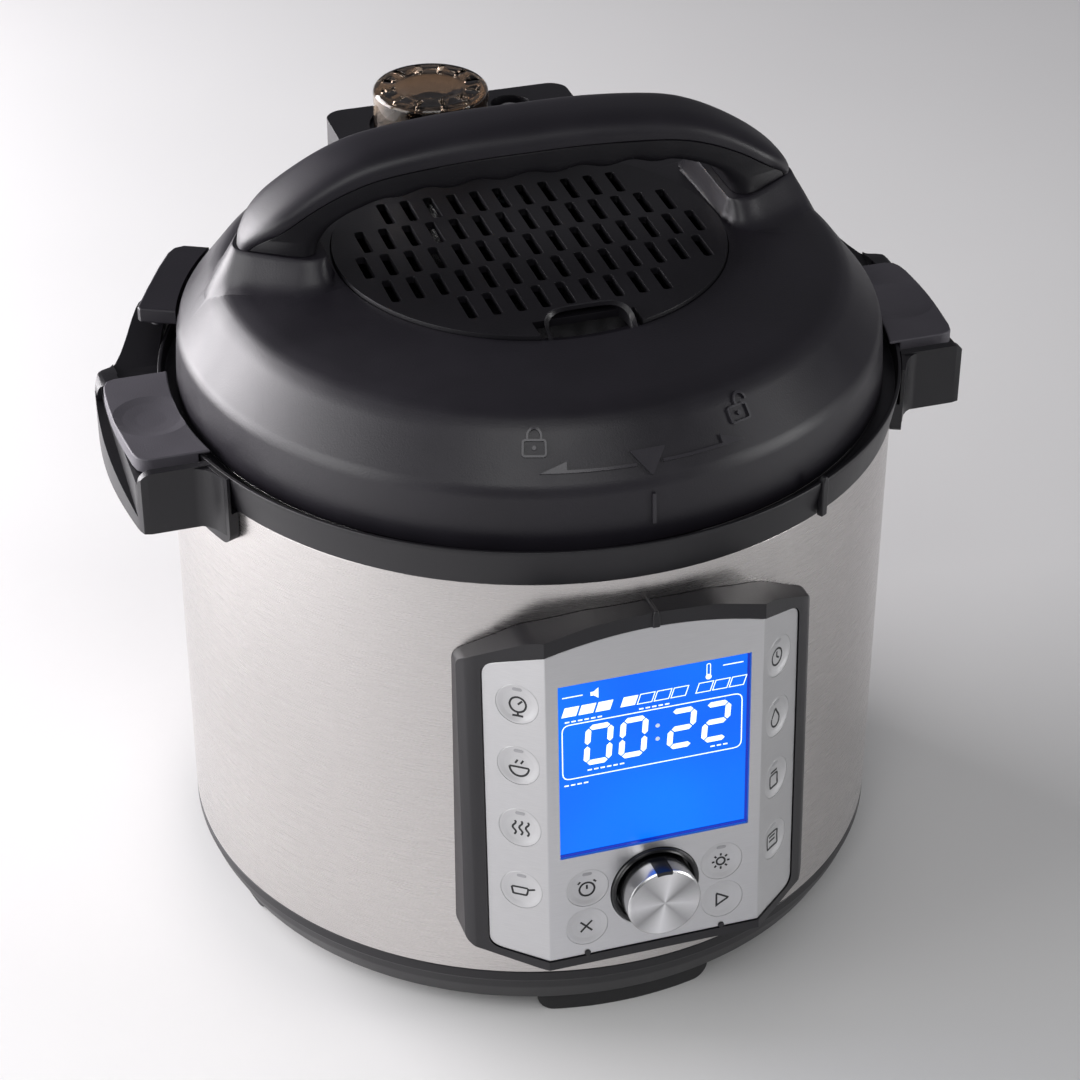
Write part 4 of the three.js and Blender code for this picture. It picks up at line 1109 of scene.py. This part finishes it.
def make_lid_fin():
    outline = [(128, -27.3), (149.4, -27.3), (150.8, -26), (151.2, -10), (151.2, 8), (150.6, 20), (149.2, 24.6),
               (145.6, 27.2), (128, 27.2)]
    fin = prism("lid_fin", outline, 243.2, 249.6)
    soften(fin, 1.0, 4, 50)
    carve(fin, disc("pin", 3.2, 239.8, 244.2, (144.5, -19), 32), operation="UNION")
    fin.data.transform(Matrix.Rotation(math.radians(26), 4, "Z"))
    carve(fin, disc("cover_room", 138.0, 220, 260, steps=160))
    piece(mirror_x(fin), "lid", "charcoal")


def grille_slots():
    """Staggered rows of slots, clear of the rim, the finger tab and the straight rear edge."""
    half, pitch, row_pitch = 8.5, 9.5, 20.5
    slots = []
    for row in range(-3, 4):
        y = row * row_pitch - 4
        for column in range(-7, 8):
            x = (column + (row & 1) / 2) * pitch
            past_rim = math.hypot(abs(x) + 1.5, abs(y) + half) > 72.5
            under_tab = abs(x) < 22 and y < -50
            if not (past_rim or under_tab or y + half > 63):
                slots.append(prism("slot", rounded_box(x - 1.9, x + 1.9, y - 8.8, y + 8.8, 1.1, 3), 270, 290))
    return joined(slots)


def make_grille():
    plate = disc("grille", GRILLE_RADIUS, 274.6, 277.6, steps=192)
    rear = block("rear", -90, 90, 67.7, 100, 260, 300)
    carve(plate, grille_slots(), rear, block("tab_room", -18.7, 20.8, -90, -63.3, 260, 300))
    soften(plate, 0.3, 2, 40)
    piece(plate, "grille", "black")


def tab_line(t, inset):
    """One arched line of the finger tab, from its rear (t is 0) to its lip (t is 1)."""
    columns, middle, low, rise, front, lean, depth, skirt = 36, 1.2, 276.4, 6.0, -76.0, 11.8, 6.6, 1.2
    half = 16.2 + t - inset
    line = []
    for k in range(columns + 1):
        a = math.pi * k / columns
        crown = math.sin(a) ** 0.55
        x = middle - half * math.copysign(abs(math.cos(a)) ** 0.42, math.cos(a))
        y = front + lean * crown + depth * crown * (1 - t)
        z = low + rise * math.sin(t * math.pi / 2) ** 0.9 * crown - inset
        line.append((x, y, z if 0 < k < columns else low - skirt))
    return line


def make_grille_tab():
    """The hooded finger tab: a short roof that rises to an arched lip, whose mouth leans back."""
    rows, wall = 8, 1.5
    rings = [tab_line(i / rows, 0) + tab_line(i / rows, wall)[::-1] for i in range(rows + 1)]
    count = len(rings[0])
    faces = bands(len(rings), count)
    for first in (0, rows * count):
        for k in range(count // 2 - 1):
            far = first + count - 1 - k
            faces.append([first + k, first + k + 1, far - 1, far])
    verts = [point for ring in rings for point in ring]
    piece(merged(new_object("grille_tab", verts, faces), 0.01), "grille", "black", weighted=False)


# ---- lid handle: half of each side-view line, from the middle outwards ----
HANDLE_OUTER = [(0, 325.2), (30, 324.6), (58, 321.4), (74, 316.6), (90, 308), (104, 297.6), (110, 290),
                (HANDLE_END, HANDLE_FOOT)]
HANDLE_SEAM = [(0, 315.2), (28, 314.8), (56, 312.6), (72, 308.6), (87, 301.8), (99, 294), (106, 288.6),
               (108.4, HANDLE_FOOT)]
HANDLE_INNER = [(0, 304.6), (50, 303.6), (66, 300.6), (76.5, 295.8), (81.6, 290), (83.4, HANDLE_FOOT)]
HANDLE_STEPS = 120
HANDLE_HALF = 16


def whole_arch(half):
    """A side-view line from one foot of the handle to the other."""
    return smooth_line([(-x, z) for x, z in half[:0:-1]] + list(half), HANDLE_STEPS)


def arch_section(near, far, half, power, base=0.35, crown=20):
    """A ring in the plane through two side-view points: flat on the near side, rounded on the far side."""
    length = (far - near).length
    unit = (far - near) / length
    shape = [(half - base, 0), (half, base)]
    for k in range(1, crown):
        a = math.pi * k / crown
        y = half * math.copysign(abs(math.cos(a)) ** (2 / power), math.cos(a))
        shape.append((y, base + (length - base) * math.sin(a) ** (2 / power)))
    shape += [(-half, base), (base - half, 0)]
    shape += [((half - base) * share, 0) for share in (-0.6, -0.2, 0.2, 0.6)]
    return [((near + unit * depth).x, HANDLE_Y + y, (near + unit * depth).y) for y, depth in shape]


def foot_width(x, z):
    """How wide the handle is, as a share of its full width: its ends taper towards their feet."""
    foot = along(FOOT_HALF, abs(x)) / HANDLE_HALF
    return foot + (1 - foot) * clamped((z - HANDLE_FOOT) / 16)


def fitted_feet(rings):
    """The handle's rings with flat feet at both ends, tapered towards them."""
    for end in (0, -1):
        rings[end] = [(x, y, HANDLE_FOOT) for x, y, z in rings[end]]
    return [[(x, HANDLE_Y + (y - HANDLE_Y) * foot_width(x, z), z) for x, y, z in ring] for ring in rings]


def make_handle():
    shell, grip = [], []
    for top, middle, low in zip(whole_arch(HANDLE_OUTER), whole_arch(HANDLE_SEAM), whole_arch(HANDLE_INNER)):
        shell.append(arch_section(middle, top, HANDLE_HALF, 2.5 + 0.5 * abs(top.x) / HANDLE_END))
        wave = 0.9 * math.cos(low.x * FULL / 20) * clamped((58 - abs(low.x)) / 6)
        low = Vector((low.x, low.y + wave))
        below = middle + (low - middle).normalized() * 0.4
        grip.append(arch_section(below, low, HANDLE_HALF - 0.25, 7))
    shell = swept("handle_shell", fitted_feet(shell))
    piece(shell, "lid", "charcoal", sharp=40, weighted=False)
    grip = swept("handle_grip", fitted_feet(grip))
    carve(grip, *[disc("bore", SCREW_BORE, 280, 291, (side * SCREW_X, HANDLE_Y), 24) for side in (1, -1)])
    piece(grip, "lid", "black", sharp=40, weighted=False)
    screw = [(0, 255), (5, 255), (5, 257.6), (2.5, 258.4), (2.5, 290), (0, 290)]
    for side, label in SIDES[::-1]:
        turned_piece(f"handle_screw_{label}", "lid", "bright", screw, 32, (side * SCREW_X, HANDLE_Y), 0.3)


# ---- valves and the lid's underside ----
def make_valve_deck():
    plan = [(-51.8, 84), (-38, 70), (38, 70), (51.8, 84), (51.8, 116), (47, 120.5), (-47, 120.5), (-51.8, 116)]
    deck = prism("valve_deck", rounded(plan, 3.5), 240, DECK_TOP)
    room = [(r + 0.4, z + 0.5) for r, z in COVER_OUTER]
    under = turned("lid_room", [(0, 200), (140, 200)] + room + [(75.4, 277.4), (0, 277.4)], 192, rounding=0)
    carve(deck, under, disc("seat", 25.2, DECK_TOP - 2, 300, VALVE, 96))
    carve(deck, disc("hole", VALVE_BORE, 260, 300, VALVE, 48), disc("hole", 8, 260, 300, FLOAT, 48))
    soften(deck, 1.5, 4, 38)
    piece(deck, "lid", "black")


def make_steam_cap():
    """A clear cap with a ring of slots round a sunken middle."""
    cap = turned("steam_cap", [
        (0, 297.6), (9, 298), (13.4, 299.6), (21.2, 299.6), (21.9, 299), (21.9, 282.9), (23.5, 282.9),
        (23.5, 299.8), (22, 301.5), (14, 301.5), (9, 299.8), (0, 299.4),
    ], 128, rounding=1.0)
    slots = [prism("slot", rounded_box(14.6, 20.6, -1.1, 1.1, 0.9, 4), 295, 305) for i in range(12)]
    for i, slot in enumerate(slots):
        slot.data.transform(Matrix.Rotation(math.radians(30 * i), 4, "Z"))
    carve(cap, joined(slots))
    cap.data.transform(Matrix.Translation((VALVE[0] * MM, VALVE[1] * MM, 0)))
    soften(cap, 0.25, 2, 45)
    piece(cap, "steam_cap", "smoky", weighted=False)


def make_valves():
    turned_piece("release_valve", "release_valve", "gloss_black", [
        (0, 289.6), (10.5, 289.6), (10.5, 291.4), (7, 292.2), (7, 294), (5.4, 294), (5.0, 293.2), (0, 293.2),
    ], 64, VALVE, 0.3)
    pipe = [(5.2, 236.6), (8.2, 236.6), (8.2, 287), (6.4, 289.2), (5.2, 289.2)]
    turned_piece("steam_pipe", "lid", "bright", pipe, 64, VALVE, 0.3)
    pin = [(0, 233), (4.6, 233), (4.6, 235), (2.6, 235), (2.6, 276), (4.4, 277.5), (4.4, 283), (0, 283)]
    turned_piece("float_valve", "float_valve", "bright", pin, 48, FLOAT)
    seal = [(3, 235.6), (5.4, 235.6), (5.4, 238.7), (3, 238.7)]
    turned_piece("float_seal", "float_valve", "silicone", seal, 48, FLOAT)


def make_lid_inside():
    plate = turned("inner_lid", [
        (0, 239), (114.6, 239), (117.4, 236.4), (117.4, 227), (118.6, 227), (118.6, 236.8), (115.2, 240.4),
        (0, 240.4),
    ], 160, rounding=1.2)
    lugs = [prism("lug", ring_sector(118, 120, a - 8, a + 8, 10), 227.2, 229) for a in range(0, 360, 60)]
    carve(plate, joined(lugs), operation="UNION")
    carve(plate, disc("hole", VALVE_BORE, 230, 250, VALVE, 48), disc("hole", 5.8, 230, 250, FLOAT, 48))
    piece(plate, "lid", "bright")
    seal = [(109.6, 225.2), (116.8, 225.2), (116.8, 231.5), (109.6, 231.5), (109.6, 229.8), (113.4, 229.4),
            (113.4, 228), (109.6, 227.6)]
    turned_piece("sealing_ring", "seal", "silicone", seal, 160, rounding=0.7)
    wire = round_outline(1.2, 12, (107.4, 228.6))
    turned_piece("ring_rack", "seal", "bright", wire, 128, rounding=0)
    shield = [(0, 229.4), (7, 229.4), (9.4, 231.4), (9.4, 236), (0, 236)]
    turned_piece("block_shield", "lid", "bright", shield, 48, VALVE)


# ---- stage ----
def make_camera():
    data = bpy.data.cameras.new("camera")
    data.lens = 98.19
    data.sensor_width = 36
    data.clip_end = 20
    camera = bpy.data.objects.new("camera", data)
    bpy.context.scene.collection.objects.link(camera)
    camera.location = (-0.30073, -0.96792, 0.80401)
    camera.rotation_euler = [math.radians(a) for a in (56.720, -0.074, -17.451)]
    bpy.context.scene.camera = camera
    bpy.context.scene.view_settings.view_transform = "Standard"


def area_light(name, place, target, size, power, color=(1, 1, 1)):
    data = bpy.data.lights.new(name, "AREA")
    data.shape = "RECTANGLE"
    data.size, data.size_y = size
    data.energy = power
    data.color = color
    light = bpy.data.objects.new(name, data)
    bpy.context.scene.collection.objects.link(light)
    light.location = place
    light.rotation_euler = (Vector(place) - Vector(target)).to_track_quat("Z", "Y").to_euler()


def make_stage():
    corners = [(x * 4000, y * 4000, 0) for x, y in ((-1, -1), (1, -1), (1, 1), (-1, 1))]
    floor = new_object("floor", corners, [[0, 1, 2, 3]])
    floor.data.materials.append(mottled("pale_floor", (0.78, 0.78, 0.775), 0.7, gloss=(8, 0.05, 3)))
    world = bpy.data.worlds.new("studio")
    world.use_nodes = True
    background = world.node_tree.nodes["Background"]
    background.inputs["Color"].default_value = (0.84, 0.83, 0.90, 1)
    background.inputs["Strength"].default_value = 0.15
    bpy.context.scene.world = world
    area_light("rim_softbox", (-1.15, 0.85, 0.42), (0, 0, 0.22), (1.3, 1.0), 48, (1, 0.97, 1))
    area_light("left_softbox", (-1.45, -0.25, 0.55), (0, 0, 0.15), (0.9, 1.0), 12)
    area_light("right_softbox", (1.35, -0.75, 0.40), (0, 0, 0.15), (0.35, 0.9), 8)
    area_light("front_softbox", (-0.4, -1.5, 1.75), (0, 0, 0.1), (1.2, 0.8), 11)


def build():
    make_base()
    make_feet()
    make_power_inlet()
    make_steel_housing()
    make_top_ring()
    for side, label in SIDES:
        make_side_handle(side, label)
        make_handle_pad(side, label)
    make_inner_parts()
    make_inner_pot()
    make_condensation_cup()
    make_bezel()
    make_face_plate()
    make_display()
    make_segments()
    make_buttons()
    make_knob()
    make_lid_cover()
    make_lid_marks()
    make_lid_fin()
    make_grille()
    make_grille_tab()
    make_handle()
    make_valve_deck()
    make_steam_cap()
    make_valves()
    make_lid_inside()
    make_camera()
    make_stage()


build()
